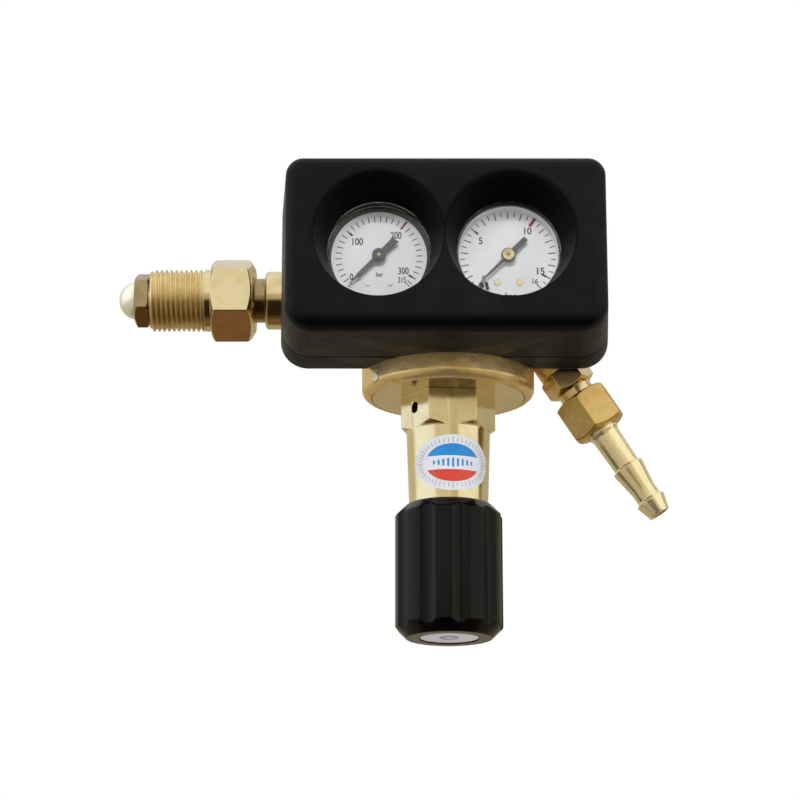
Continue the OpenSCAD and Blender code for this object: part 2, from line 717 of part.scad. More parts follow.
module inlet_nut() color(brass) on_inlet() difference() {
    union() {
        rotate_extrude() polygon([
            [0, nut_end_x], [inlet_thread_d / 2 - 1.1, nut_end_x], [inlet_thread_d / 2, nut_end_x + 1.1],
            [inlet_thread_d / 2, eps], [0, eps]
        ]);
        hex_bar(inlet_nut_af, 0, inlet_nut_l, inlet_nut_af / 2 - 0.4, inlet_nut_af / 2 - 2.2);
    }
    ring(stem_d / 2 + fit, nut_end_x - cut, inlet_nut_l + cut);
}

module inlet_filter() color([0.62, 0.45, 0.28]) on_inlet() difference() {
    ring(filter_d / 2, stem_end_x - filter_l - 0.5, stem_end_x - 0.5);
    ring(filter_d / 2 - 1.6, stem_end_x - filter_l + 1.5, stem_end_x + cut);
}

// Outlet
module outlet_adapter() color(brass) on_outlet() difference() {
    union() {
        rotate([0, 0, 6])
            hex_bar(adapter_af, adapter_face, adapter_hex_end, adapter_af / 2, adapter_af / 2 - 1.2);
        ring(union_thread_d / 2 - 0.8, adapter_face - adapter_thread_l, adapter_face + eps);
        ring(adapter_neck_d / 2, adapter_hex_end - eps, adapter_end);
        rotate_extrude() polygon([
            [0, union_face + 0.5], [adapter_neck_d / 2, union_face + 0.5],
            [union_thread_d / 2, union_face + 0.5 + union_thread_d / 2 - adapter_neck_d / 2],
            [union_thread_d / 2, adapter_end - 0.6], [union_thread_d / 2 - 0.6, adapter_end],
            [0, adapter_end]
        ]);
    }
    ring(tail_bore_d / 2, adapter_face - adapter_thread_l - cut, adapter_end + cut);
    rotate_extrude() polygon([
        [0, adapter_end - 3], [tail_bore_d / 2, adapter_end - 3], [tail_bore_d / 2 + 2.6, adapter_end + eps],
        [tail_bore_d / 2 + 2.6, adapter_end + cut], [0, adapter_end + cut]
    ]);
}

module union_nut() color(brass) on_outlet() difference() {
    rotate([0, 0, -14.7]) hex_bar(union_af, union_face, union_end, union_af / 2 - 0.5, union_af / 2 - 1.2);
    ring(union_thread_d / 2 + fit, union_face - cut, tail_head + tail_head_l + 0.1);
    ring(tail_shank_d / 2 + fit, union_face, union_end + cut);
}

module hose_tail() color(pale_brass) on_outlet() difference() {
    rotate_extrude() polygon([
        [0, tail_head - 2.2], [tail_bore_d / 2 + 1, tail_head - 2.2], [union_thread_d / 2 - 2, tail_head],
        [union_thread_d / 2 - 0.3, tail_head], [union_thread_d / 2 - 0.3, tail_head + tail_head_l - 0.3],
        [tail_shank_d / 2, tail_head + tail_head_l], [tail_shank_d / 2, union_end + 1],
        [tail_tube_d / 2, union_end + 2.2], [tail_tube_d / 2 - 0.4, barb_base],
        [barb_d / 2, barb_peak], [tail_waist_d / 2, waist_start], [tail_waist_d / 2, waist_end],
        [barb_d / 2 - 0.4, end_barb], [tail_mouth_d / 2, tail_end], [0, tail_end]
    ]);
    ring(tail_bore_d / 2, tail_head - 2.2 - cut, tail_end + cut);
}

// Relief valve on the low-pressure side
module relief_cap() color(brass) on_relief() difference() {
    union() {
        ring(relief_thread_d / 2, relief_seat_z + 4.5, relief_top_z + eps);
        hex_bar(relief_af, relief_top_z, relief_top_z + 5, relief_af, relief_af / 2 - 0.3);
        rotate_extrude() polygon([
            [0, relief_top_z], [relief_af / 2 - 1.1, relief_top_z], [relief_af / 2 - 1.1, relief_cap_top - 1],
            [relief_af / 2 - 2.1, relief_cap_top], [0, relief_cap_top]
        ]);
    }
    ring(relief_thread_d / 2 - 1.2, relief_seat_z, relief_ceiling_z);
    for (a = [0, 90, 180, 270]) rotate([0, 0, a]) translate([0, 0, relief_cap_top - 5]) rotate([0, 90, 0])
        cylinder(r = 1, h = relief_af);
}

module relief_poppet() color(steel) on_relief() {
    ring(relief_poppet_d / 2 - 0.4, relief_seat_z, relief_seat_z + relief_poppet_h);
    ring(1.4, relief_seat_z + relief_poppet_h - eps, relief_stem_top);
}

module relief_spring() color(steel) on_relief() translate([0, 0, relief_seat_z + relief_poppet_h])
    coil(2.4, 0.4, relief_ceiling_z - relief_seat_z - relief_poppet_h, 7, 6, 12);

// Gauge parts
module gauge_seal() color([0.9, 0.9, 0.88])
    ring(gauge_boss_r - 1, gauge_seat, socket_hex, gauge_thread_d / 2 + fit);

module gauge_socket() color(brass) difference() {
    union() {
        ring(gauge_thread_d / 2, 1.6, socket_hex + eps);
        hex_bar(socket_af, socket_hex, case_back, socket_af / 2 - 0.4, socket_af);
        ring(5.4, case_back - eps, case_floor + eps);
        translate([-5, -15.5, case_floor]) cube([10, 20, block_front - case_floor]);
    }
    ring(1.5, 1, case_floor + 4);
    rotate([0, 0, 200]) rotate_extrude(angle = tube_root_angle - 199)
        translate([tube_r - tube_wall / 2 - 0.05, tube_back - 0.05]) square([tube_wall + 0.1, tube_w + 0.1]);
}

module gauge_case() color(black) rotate_extrude() difference() {
    union() {
        translate([5.5, case_back]) square([case_r - 5.5 - 2, case_l]);
        translate([5.5, case_back + 2]) square([case_r - 5.5, case_l - 2]);
        translate([case_r - 2, case_back + 2]) circle(2);
    }
    translate([0, case_floor]) square([case_r - case_t, case_l]);
}

module gauge_tube() color(brass) {
    rotate([0, 0, tube_tip_angle]) rotate_extrude(angle = tube_root_angle - tube_tip_angle) difference() {
        translate([tube_r - tube_wall / 2, tube_back]) square([tube_wall, tube_w]);
        translate([tube_r - tube_wall / 2 + 0.4, tube_back + 0.4]) square([tube_wall - 0.8, tube_w - 0.8]);
    }
    rotate([0, 0, tube_tip_angle]) translate([tube_r - tube_wall / 2 - 0.5, -1.2, tube_back])
        cube([tube_wall + 0.5, 1.4, tube_w]);
    translate([tip_point[0] - 1, tip_point[1] - 1.4, tube_back + tube_w - eps])
        cube([2, 2, sector_back - 0.5 - tube_back - tube_w]);
}

module plate_outline() polygon([[-11, -12], [-6, -14], [10, -13], [11, -8], [8, 11], [-10, 11]]);

module gauge_movement() color(pale_brass) difference() {
    union() {
        translate([0, 0, block_front]) linear_extrude(plate_t) plate_outline();
        translate([0, 0, front_plate]) linear_extrude(plate_t) plate_outline();
        for (p = pillars) translate([p[0], p[1], block_front])
            cylinder(r = 1.2, h = front_plate - block_front + eps);
    }
    ring(arbor_r + fit, block_front - cut, dial_back + cut);
    translate(sector_pivot) ring(arbor_r + 0.1 + fit, block_front - cut, dial_back + cut);
    for (s = [-1, 1]) translate([s * dial_screw_x, dial_screw_y, front_plate - cut])
        cylinder(r = 0.8, h = plate_t + 2 * cut);
}

// Outline of a gear with straight-sided teeth, one of them on the +X axis
function gear_points(teeth, r, from, to, thin) = [for (i = [from:to], side = [0:3])
    let (pitch = 360 / teeth, a = i * pitch, tip = gear_module * 0.85, root = gear_module * 1.1,
        base_w = 0.3 * pitch * thin, tip_w = 0.13 * pitch * thin,
        radius = side == 0 || side == 3 ? r - root : r + tip,
        turn = side == 0 ? -base_w : side == 1 ? -tip_w : side == 2 ? tip_w : base_w)
    radius * [cos(a + turn), sin(a + turn)]];

module gauge_pinion() color(brass) {
    ring(arbor_r, block_front + 0.2, pointer_back + pointer_hub_h - 0.2);
    translate([0, 0, sector_back - 0.3]) rotate([0, 0, sector_angle + 180 / pinion_teeth])
        linear_extrude(sector_t + 0.6) polygon(gear_points(pinion_teeth, pinion_r, 0, pinion_teeth - 1, 0.8));
}

module gauge_sector() color(pale_brass) {
    teeth = pinion_teeth * gear_ratio;
    extra = 1;
    swept = ceil(sector_sweep * teeth / 360);
    translate([sector_pivot[0], sector_pivot[1], 0]) {
        translate([0, 0, sector_back]) difference() {
            union() {
                rotate([0, 0, sector_angle + 180]) linear_extrude(sector_t)
                    polygon(concat([[2.2, 0.6], [2.2, -2.2]],
                        gear_points(teeth, sector_r, -swept - extra, extra, 0.8)));
                cylinder(r = 2.4, h = sector_t);
                translate([0, -1, 0]) cube([tail_arm, 2, sector_t]);
                translate([tail_arm, 0, 0]) cylinder(r = 1, h = sector_t);
            }
            translate([tail_arm, 0, -cut]) cylinder(r = 0.5, h = sector_t + 2 * cut);
        }
        ring(arbor_r + 0.1, block_front + 0.2, dial_back - 0.3);
    }
}

module gauge_link() color(steel) {
    low = [sector_pivot[0] + tail_arm, sector_pivot[1]];
    span = tip_point - low;
    pin_h = link_back - sector_back + 0.2 + eps;
    translate([low[0], low[1], 0]) {
        translate([0, 0, sector_back - 0.2]) cylinder(r = 0.4, h = pin_h);
        translate([0, 0, link_back]) {
            cylinder(r = 0.9, h = link_t);
            rotate([0, 0, atan2(span[1], span[0])]) translate([0, -0.6, 0]) cube([norm(span), 1.2, link_t]);
            translate([span[0], span[1], 0]) cylinder(r = 0.9, h = link_t);
        }
        translate([span[0], span[1], sector_back - 0.2]) cylinder(r = 0.4, h = pin_h);
    }
}

module gauge_dial() color("white") difference() {
    ring(dial_r, dial_back, dial_back + dial_t, 1.6);
    for (s = [-1, 1]) translate([s * dial_screw_x, dial_screw_y, dial_back - cut])
        cylinder(r = 0.8, h = dial_t + 2 * cut);
}

module gauge_dial_screws() color(brass) for (s = [-1, 1]) translate([s * dial_screw_x, dial_screw_y, 0]) {
    ring(0.7, front_plate + 0.1, dial_back + dial_t + eps);
    ring(1.3, dial_back + dial_t, dial_back + dial_t + 0.5);
}

module gauge_pointer() color(black) rotate([0, 0, 225]) difference() {
    union() {
        translate([0, 0, pointer_back]) cylinder(r = 2.4, h = pointer_hub_h);
        translate([0, 0, pointer_back + 0.4]) linear_extrude(0.5) polygon([
            [0, -1], [pointer_l - 2, -0.5], [pointer_l, 0], [pointer_l - 2, 0.5], [0, 1],
            [-pointer_tail_l, 1.5], [-pointer_tail_l, -1.5]
        ]);
    }
    ring(arbor_r + 0.04, pointer_back - cut, pointer_back + pointer_hub_h - 0.1);
}

module gauge_window() color([0.85, 0.9, 0.92, 0.4]) {
    ring(case_r - 0.3, case_front, window_front);
    ring(case_r - case_t - 0.2, skirt_back, case_front + eps, case_r - case_t - 1.2);
}

// Rubber boot
module boot_section(inset, wide = 0, lift = 0) {
    left = boot_left + inset - wide;
    right = boot_left + boot_w - inset + wide;
    low = boot_base_z + inset + lift;
    high = boot_top_z - inset;
    base_r = max(boot_base_r - inset, 1);
    top_r = max(boot_top_r - inset, 1);
    union() {
        translate([left, low + base_r]) square([right - left, high - low - base_r - top_r]);
        translate([left + base_r, low]) square([right - left - 2 * base_r, base_r + eps]);
        translate([left + top_r, high - top_r - eps]) square([right - left - 2 * top_r, top_r + eps]);
        for (x = [left + base_r, right - base_r]) translate([x, low + base_r]) circle(base_r);
        for (x = [left + top_r, right - top_r]) translate([x, high - top_r]) circle(top_r);
    }
}

module boot_post(x, z, r) {
    translate([x, z, 0]) rotate_extrude($fn = 40) intersection() {
        union() {
            translate([0, boot_back]) square([r, boot_l - boot_front_r]);
            translate([0, boot_back]) square([max(r - boot_front_r, 0.1), boot_l]);
            translate([r - boot_front_r, boot_front - boot_front_r]) circle(boot_front_r, $fn = 32);
        }
        translate([0, boot_back]) square([r, boot_l]);
    }
}

module boot_outside() hull() {
    for (x = [boot_left + boot_base_r, boot_left + boot_w - boot_base_r])
        boot_post(x, boot_base_z + boot_drop + boot_base_r, boot_base_r);
    for (x = [boot_left + boot_top_r, boot_left + boot_w - boot_top_r])
        boot_post(x, boot_top_z - boot_top_r, boot_top_r);
    for (x = [boot_left - boot_flare + boot_base_r, boot_left + boot_w + boot_flare - boot_base_r])
        translate([x, boot_base_z + boot_base_r, boot_back]) cylinder(r = boot_base_r, h = 1, $fn = 40);
    for (x = [boot_left - boot_flare + boot_top_r, boot_left + boot_w + boot_flare - boot_top_r])
        translate([x, boot_top_z - boot_top_r, boot_back]) cylinder(r = boot_top_r, h = 1, $fn = 40);
}

// Each gauge's funnel and the ring that grips its case
module boot_funnels() for (x = [high_gauge_x, low_gauge_x]) translate([bonnet_axis_x + x, gauge_z, 0]) {
    rotate_extrude() polygon([
        [0, lip_back - 12], [case_r + 0.3 + funnel_t, lip_back - 12], [case_r + 0.3 + funnel_t, lip_back + 3],
        [recess_d / 2 + funnel_t, boot_front], [0, boot_front]
    ]);
}

module gauge_boot() color(black) rotate([90, 0, 0]) difference() {
    boot_outside();
    difference() {
        translate([0, 0, boot_back - cut])
            linear_extrude(funnel_front + cut - boot_back) boot_section(boot_t);
        boot_funnels();
    }
    translate([0, 0, boot_line]) linear_extrude(0.8) difference() {
        boot_section(-2, line_flare, 0);
        boot_section(mould_line, line_flare, line_lift);
    }
    for (x = [high_gauge_x, low_gauge_x]) translate([bonnet_axis_x + x, gauge_z, 0]) {
        ring(case_r + 0.3, boot_back - cut, lip_back);
        rotate_extrude() polygon([
            [0, lip_back - eps], [recess_window_d / 2, lip_back - eps],
            [recess_window_d / 2, lip_back + 0.6], [recess_d / 2, boot_front + eps], [0, boot_front + eps]
        ]);
    }
    rotate([-90, 0, 0]) on_bonnet() ring(cup_d / 2 + gap, joint_z, cup_top_z + shoulder_h);
}

module high_gauge_seal() on_gauge(high_gauge_x) gauge_seal();
module high_gauge_socket() on_gauge(high_gauge_x) gauge_socket();
module high_gauge_case() on_gauge(high_gauge_x) gauge_case();
module high_gauge_tube() on_gauge(high_gauge_x) gauge_tube();
module high_gauge_movement() on_gauge(high_gauge_x) gauge_movement();
module high_gauge_sector() on_gauge(high_gauge_x) gauge_sector();
module high_gauge_link() on_gauge(high_gauge_x) gauge_link();
module high_gauge_pinion() on_gauge(high_gauge_x) gauge_pinion();
module high_gauge_dial() on_gauge(high_gauge_x) gauge_dial();
module high_gauge_dial_screws() on_gauge(high_gauge_x) gauge_dial_screws();
module high_gauge_pointer() on_gauge(high_gauge_x) gauge_pointer();
module high_gauge_window() on_gauge(high_gauge_x) gauge_window();
module low_gauge_seal() on_gauge(low_gauge_x) gauge_seal();
module low_gauge_socket() on_gauge(low_gauge_x) gauge_socket();
module low_gauge_case() on_gauge(low_gauge_x) gauge_case();
module low_gauge_tube() on_gauge(low_gauge_x) gauge_tube();
module low_gauge_movement() on_gauge(low_gauge_x) gauge_movement();
module low_gauge_sector() on_gauge(low_gauge_x) gauge_sector();
module low_gauge_link() on_gauge(low_gauge_x) gauge_link();
module low_gauge_pinion() on_gauge(low_gauge_x) gauge_pinion();
module low_gauge_dial() on_gauge(low_gauge_x) gauge_dial();
module low_gauge_dial_screws() on_gauge(low_gauge_x) gauge_dial_screws();
module low_gauge_pointer() on_gauge(low_gauge_x) gauge_pointer();
module low_gauge_window() on_gauge(low_gauge_x) gauge_window();

body();
bonnet();
bonnet_lock_pin();
diaphragm();
diaphragm_slip_ring();
diaphragm_pad();
spring_pad();
main_spring();
spring_carrier();
adjusting_screw();
thrust_washer();
knob();
knob_nut();
knob_cap();
valve_seat();
valve_poppet();
poppet_disc();
valve_pin();
poppet_spring();
chamber_plug();
chamber_plug_seal();
inlet_stem();
inlet_nose();
inlet_nut();
inlet_filter();
outlet_adapter();
union_nut();
hose_tail();
relief_cap();
relief_poppet();
relief_spring();
gauge_boot();
high_gauge_seal();
high_gauge_socket();
high_gauge_case();
high_gauge_tube();
high_gauge_movement();
high_gauge_sector();
high_gauge_link();
high_gauge_pinion();
high_gauge_dial();
high_gauge_dial_screws();
high_gauge_pointer();
high_gauge_window();
low_gauge_seal();
low_gauge_socket();
low_gauge_case();
low_gauge_tube();
low_gauge_movement();
low_gauge_sector();
low_gauge_link();
low_gauge_pinion();
low_gauge_dial();
low_gauge_dial_screws();
low_gauge_pointer();
low_gauge_window();
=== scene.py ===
import math

import bmesh
import bpy
from mathutils import Matrix, Vector
from mathutils.bvhtree import BVHTree


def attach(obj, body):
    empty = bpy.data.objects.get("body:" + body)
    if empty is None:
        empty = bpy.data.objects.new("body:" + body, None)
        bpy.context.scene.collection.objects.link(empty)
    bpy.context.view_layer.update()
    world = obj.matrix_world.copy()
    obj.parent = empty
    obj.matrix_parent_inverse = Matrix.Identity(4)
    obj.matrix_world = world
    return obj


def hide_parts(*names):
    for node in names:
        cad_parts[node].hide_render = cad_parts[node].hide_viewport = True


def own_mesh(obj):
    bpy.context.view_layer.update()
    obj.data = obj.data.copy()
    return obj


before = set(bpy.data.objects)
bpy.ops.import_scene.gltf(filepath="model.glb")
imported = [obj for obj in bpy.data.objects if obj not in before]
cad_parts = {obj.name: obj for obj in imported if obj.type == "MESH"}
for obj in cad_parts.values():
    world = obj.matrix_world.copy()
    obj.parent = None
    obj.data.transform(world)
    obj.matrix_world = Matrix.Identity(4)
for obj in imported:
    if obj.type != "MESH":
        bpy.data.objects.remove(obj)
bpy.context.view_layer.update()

mm = 0.001
bonnetX = 86.9      # millimetres, as all sizes below
gaugeX = {"high": 61.8, "low": 108.0}
gaugeZ = 5.8
outletSlope = 57
outletWay = Vector((math.cos(math.radians(outletSlope)), 0, -math.sin(math.radians(outletSlope))))

# axis frames: a piece is lathed standing on Z and laid down with one of these
onInlet = Matrix.Rotation(math.radians(90), 4, "Y")
onBonnet = Matrix.Translation((bonnetX, 0, 0))


def onGauge(side):
    return Matrix.Translation((gaugeX[side], 0, gaugeZ)) @ Matrix.Rotation(math.radians(90), 4, "X")


# camera, paper and light
cameraView = {"place": (0.0693, -0.9257, -0.293), "tilt": 105.4, "lens": 118.17, "sensor": 36.0}
studio = {
    "fill": 0.13,             # plain light from all round
    "paper": 1.0,             # white seen behind the object
    "around": (0.86, 0.83, 0.74),
    "lampAim": (80, -20, -40),
}
# what shiny metal sees: turn is round the vertical from the front, roll is over the top from the front,
# each with (from, to, softness) in degrees, x and z as shares of the view
cards = {
    "topCard": {"tint": (0.76, 0.76, 0.80), "roll": (118, 148, 8)},
    "leftCard": {"tint": (0.97, 1.02, 1.10), "turn": (-118, -39, 3)},
    "rightCard": {"tint": (0.95, 0.92, 0.82), "turn": (26, 96, 3)},
    "backWall": {"tint": (0.42, 0.37, 0.27), "roll": (150, 181, 8)},
    "backLeft": {"tint": (0.58, 0.53, 0.40), "turn": (-181, -118, 5), "z": (-0.2, 0.6, 0.1)},
    "backRight": {"tint": (0.46, 0.42, 0.31), "turn": (118, 181, 5), "z": (-0.2, 0.6, 0.1)},
    "frontGap": {"tint": (0.54, 0.46, 0.30), "turn": (-39, 26, 3), "z": (-0.6, 0.186, 0.014)},
    "frontGapRight": {"tint": (0.54, 0.46, 0.30), "turn": (7, 26, 3), "z": (0.15, 0.29, 0.02)},
    "underside": {"tint": (0.40, 0.335, 0.23), "z": (-1.1, -0.1, 0.06)},
    "straightDown": {"tint": (0.10, 0.06, 0.03), "z": (-1.1, -0.78, 0.06)},
    "darkLane": {"tint": (0.02, 0.013, 0.007), "roll": (-80, -13, 3), "x": (-0.3, 0.3, 0.05)},
    "brownCard": {"tint": (0.19, 0.10, 0.05), "roll": (-118, -96, 3), "x": (-0.25, 0.12, 0.03)},
    "darkFlag": {"tint": (0.05, 0.03, 0.012), "turn": (96, 110, 2), "z": (-0.3, 0.8, 0.1)},
}
# the lamps light the soft materials and stay out of the reflections
softBoxes = {
    "leftBox": {"turn": -69, "rise": 24, "away": 1.25, "size": (1.4, 1.5), "glow": 1.2},
    "rightBox": {"turn": 59, "rise": 24, "away": 1.25, "size": (1.45, 1.5), "glow": 1.2},
    "topBox": {"turn": 180, "rise": 68, "away": 1.2, "size": (1.3, 1.0), "glow": 0.85},
    "dialBox": {"turn": -2, "rise": 19, "away": 1.5, "size": (0.9, 0.16), "glow": 34.0},
}


def makeCamera():
    data = bpy.data.cameras.new("photoCamera")
    data.lens = cameraView["lens"]
    data.sensor_width = cameraView["sensor"]
    camera = bpy.data.objects.new("photoCamera", data)
    camera.location = cameraView["place"]
    camera.rotation_euler = (math.radians(cameraView["tilt"]), 0, 0)
    bpy.context.scene.collection.objects.link(camera)
    bpy.context.scene.camera = camera


def addNode(tree, kind, values=None, **settings):
    made = tree.nodes.new(kind)
    for key, value in settings.items():
        setattr(made, key, value)
    for socket, value in (values or {}).items():
        if hasattr(value, "links"):
            tree.links.new(value, made.inputs[socket])
        else:
            made.inputs[socket].default_value = value
    return made


def mathNode(tree, what, first, second=0.0):
    return addNode(tree, "ShaderNodeMath", {0: first, 1: second}, operation=what).outputs[0]


def smoothStep(tree, value, start, end, low=0.0, high=1.0):
    values = {"Value": value, "From Min": start, "From Max": end, "To Min": low, "To Max": high}
    return addNode(tree, "ShaderNodeMapRange", values, interpolation_type="SMOOTHSTEP").outputs["Result"]


def mixNumbers(tree, share, first, second):
    values = {"Factor": share, 2: first, 3: second}
    return addNode(tree, "ShaderNodeMix", values, data_type="FLOAT").outputs[0]


def mixColors(tree, share, first, second):
    made = addNode(tree, "ShaderNodeMix", {"Factor": share}, data_type="RGBA")
    for socket, value in ((6, first), (7, second)):
        if hasattr(value, "links"):
            tree.links.new(value, made.inputs[socket])
        else:
            made.inputs[socket].default_value = (*value, 1)
    return made.outputs[2]


def cardMask(tree, ways, card):
    mask = 1.0
    for key in ("turn", "roll", "x", "z"):
        if key in card:
            low, high, soft = card[key]
            inside = smoothStep(tree, ways[key], low - soft, low + soft)
            mask = mathNode(tree, "MULTIPLY", mask, inside)
            below = smoothStep(tree, ways[key], high + soft, high - soft)
            mask = mathNode(tree, "MULTIPLY", mask, below)
    return mask


# only glossy rays see the cards, the camera and the windows see white paper
def makeWorld():
    world = bpy.data.worlds.new("studio")
    bpy.context.scene.world = world
    world.use_nodes = True
    tree = world.node_tree
    tree.nodes.clear()
    way = addNode(tree, "ShaderNodeTexCoord").outputs["Generated"]
    x, y, z = addNode(tree, "ShaderNodeSeparateXYZ", {0: way}).outputs
    front = mathNode(tree, "MULTIPLY", y, -1.0)
    ways = {"x": x, "z": z}
    for key, rise in (("turn", x), ("roll", z)):
        ways[key] = mathNode(tree, "DEGREES", mathNode(tree, "ARCTAN2", rise, front))
    seen = studio["around"]
    for card in cards.values():
        seen = mixColors(tree, cardMask(tree, ways, card), seen, card["tint"])
    path = addNode(tree, "ShaderNodeLightPath")
    color = mixColors(tree, path.outputs["Is Glossy Ray"], (studio["fill"],) * 3, seen)
    clear = mathNode(tree, "MAXIMUM", path.outputs["Is Camera Ray"], path.outputs["Is Transmission Ray"])
    color = mixColors(tree, clear, color, (studio["paper"],) * 3)
    background = addNode(tree, "ShaderNodeBackground", {"Color": color, "Strength": 1.0})
    output = addNode(tree, "ShaderNodeOutputWorld")
    tree.links.new(background.outputs[0], output.inputs["Surface"])


def makeLights():
    aim = Vector(studio["lampAim"]) * mm
    for name, box in softBoxes.items():
        turn, rise = math.radians(box["turn"]), math.radians(box["rise"])
        way = Vector((math.sin(turn) * math.cos(rise), -math.cos(turn) * math.cos(rise), math.sin(rise)))
        data = bpy.data.lights.new(name, "AREA")
        data.shape = "RECTANGLE"
        data.size, data.size_y = box["size"]
        data.energy = box["glow"] * math.pi * data.size * data.size_y
        lamp = bpy.data.objects.new(name, data)
        lamp.location = aim + way * box["away"]
        lamp.rotation_mode = "QUATERNION"
        lamp.rotation_quaternion = way.to_track_quat("Z", "Y")
        lamp.visible_camera = False
        lamp.visible_glossy = False
        bpy.context.scene.collection.objects.link(lamp)


floorPaper = {
    "height": -0.42,          # metres
    "reach": 4.0,
    "tint": (0.9, 0.9, 0.9),
    "rough": 0.8,
    "glow": 0.8,              # keeps the floor pale to the camera alone
}


def makeFloor():
    bm = bmesh.new()
    bmesh.ops.create_grid(bm, x_segments=2, y_segments=2, size=floorPaper["reach"])
    bmesh.ops.translate(bm, verts=bm.verts, vec=(0, 0, floorPaper["height"]))
    mesh = bpy.data.meshes.new("paperFloor")
    bm.to_mesh(mesh)
    bm.free()
    floor = bpy.data.objects.new("paperFloor", mesh)
    floor.visible_glossy = False
    material, tree, shader = newMaterial("paper")
    setShader(shader, color=floorPaper["tint"], rough=floorPaper["rough"])
    shader.inputs["Emission Color"].default_value = (1, 1, 1, 1)
    toCamera = addNode(tree, "ShaderNodeLightPath").outputs["Is Camera Ray"]
    glow = mathNode(tree, "MULTIPLY", toCamera, floorPaper["glow"])
    tree.links.new(glow, shader.inputs["Emission Strength"])
    mesh.materials.append(material)
    bpy.context.scene.collection.objects.link(floor)


# material parts
def newMaterial(name):
    material = bpy.data.materials.new(name)
    material.use_nodes = True
    tree = material.node_tree
    return material, tree, tree.nodes["Principled BSDF"]


def setShader(shader, color=None, rough=None, metal=0.0, shine=0.5):
    if color is not None:
        shader.inputs["Base Color"].default_value = (*color, 1)
    if rough is not None:
        shader.inputs["Roughness"].default_value = rough
    shader.inputs["Metallic"].default_value = metal
    shader.inputs["Specular IOR Level"].default_value = shine


def objectPoint(tree):
    return addNode(tree, "ShaderNodeTexCoord").outputs["Object"]


def noiseAt(tree, point, scale, detail=2.0, rough=0.5):
    values = {"Vector": point, "Scale": scale, "Detail": detail, "Roughness": rough}
    return addNode(tree, "ShaderNodeTexNoise", values).outputs["Fac"]


# noise that changes only along one axis, so it reads as tool marks round a turned part
def ringsAlong(tree, point, axis, scale, detail):
    along = addNode(tree, "ShaderNodeVectorMath", {0: point, 1: tuple(axis)}, operation="DOT_PRODUCT")
    values = {"W": along.outputs["Value"], "Scale": scale, "Detail": detail}
    return addNode(tree, "ShaderNodeTexNoise", values, noise_dimensions="1D").outputs["Fac"]


def addBump(tree, shader, height, distance, under=None):
    values = {"Height": height, "Distance": distance, "Strength": 1.0}
    if under is not None:
        values["Normal"] = under
    bump = addNode(tree, "ShaderNodeBump", values)
    tree.links.new(bump.outputs[0], shader.inputs["Normal"])
    return bump.outputs[0]


# tint and dull mix in patches; marks, grain and dents are bump depths in metres
brassLooks = {
    "forgedBrass": {"tint": (0.95, 0.73, 0.34), "dull": (0.86, 0.61, 0.25), "rough": (0.26, 0.4),
                    "axis": (0.35, 0.2, 0.9), "marks": 0.0000016, "grain": 0.000004, "dents": 0.0004,
                    "metal": 0.85},
    "bonnetBrass": {"tint": (0.88, 0.77, 0.48), "dull": (0.84, 0.71, 0.41), "rough": (0.14, 0.22),
                    "axis": (0.25, 0.1, 0.96), "marks": 0.0000005, "grain": 0.0000015, "dents": 0.00006},
    "inletBrass": {"tint": (0.87, 0.76, 0.47), "dull": (0.80, 0.67, 0.38), "rough": (0.14, 0.22),
                   "axis": (1, 0, 0), "marks": 0.0000012, "grain": 0.000001, "dents": 0.00002},
    "threadBrass": {"tint": (0.93, 0.80, 0.50), "dull": (0.84, 0.70, 0.40), "rough": (0.3, 0.38),
                    "axis": (1, 0, 0), "marks": 0.0, "grain": 0.0000005, "dents": 0.00001},
    # a darker brass for the stem's neck and the nose's hexagon
    "darkerBrass": {"tint": (0.44, 0.34, 0.19), "dull": (0.34, 0.25, 0.13), "rough": (0.18, 0.26),
                       "axis": (1, 0, 0), "marks": 0.0000012, "grain": 0.000001, "dents": 0.00002},
    "outletBrass": {"tint": (0.86, 0.71, 0.40), "dull": (0.78, 0.61, 0.31), "rough": (0.16, 0.24),
                    "axis": tuple(outletWay), "marks": 0.000001, "grain": 0.0000015, "dents": 0.00002},
    "unionBrass": {"tint": (0.75, 0.54, 0.21), "dull": (0.67, 0.45, 0.16), "rough": (0.26, 0.34),
                   "axis": tuple(outletWay), "marks": 0.000001, "grain": 0.0000015, "dents": 0.00002},
    "tailBrass": {"tint": (0.97, 0.86, 0.54), "dull": (0.94, 0.81, 0.47), "rough": (0.17, 0.21),
                  "axis": tuple(outletWay), "marks": 0.0, "grain": 0.0000002, "dents": 0.00001,
                  "metal": 0.86},
    "paleBrass": {"tint": (0.99, 0.95, 0.78), "dull": (0.95, 0.90, 0.70), "rough": (0.28, 0.36),
                  "axis": (1, 0, 0), "marks": 0.0000003, "grain": 0.0000005, "dents": 0.00001,
                  "metal": 0.75},
    "gaugeBrass": {"tint": (0.95, 0.85, 0.56), "dull": (0.90, 0.78, 0.46), "rough": (0.16, 0.26),
                   "axis": (0, 1, 0), "marks": 0.0000005, "grain": 0.000001, "dents": 0.000005},
    "springSteel": {"tint": (0.60, 0.61, 0.63), "dull": (0.48, 0.49, 0.52), "rough": (0.22, 0.36),
                    "axis": (0, 0, 1), "marks": 0.000002, "grain": 0.000003, "dents": 0.00001},
    "redCopper": {"tint": (0.80, 0.45, 0.31), "dull": (0.62, 0.33, 0.22), "rough": (0.28, 0.4),
                  "axis": (0, 0, 1), "marks": 0.000002, "grain": 0.000004, "dents": 0.00002},
    "sinteredBronze": {"tint": (0.55, 0.38, 0.22), "dull": (0.38, 0.25, 0.14), "rough": (0.5, 0.7),
                       "axis": (1, 0, 0), "marks": 0.0, "grain": 0.00006, "dents": 0.00002},
}


metalWear = {
    "patchScale": 120,
    "ringScale": 2000,
    "grainScale": 1500,
    "dentScale": 150,
    "patchEdge": (0.42, 0.68),
    "wornEdge": (0.35, 0.65),
    "patchShare": 0.6,
    "ringShare": 0.4,
}


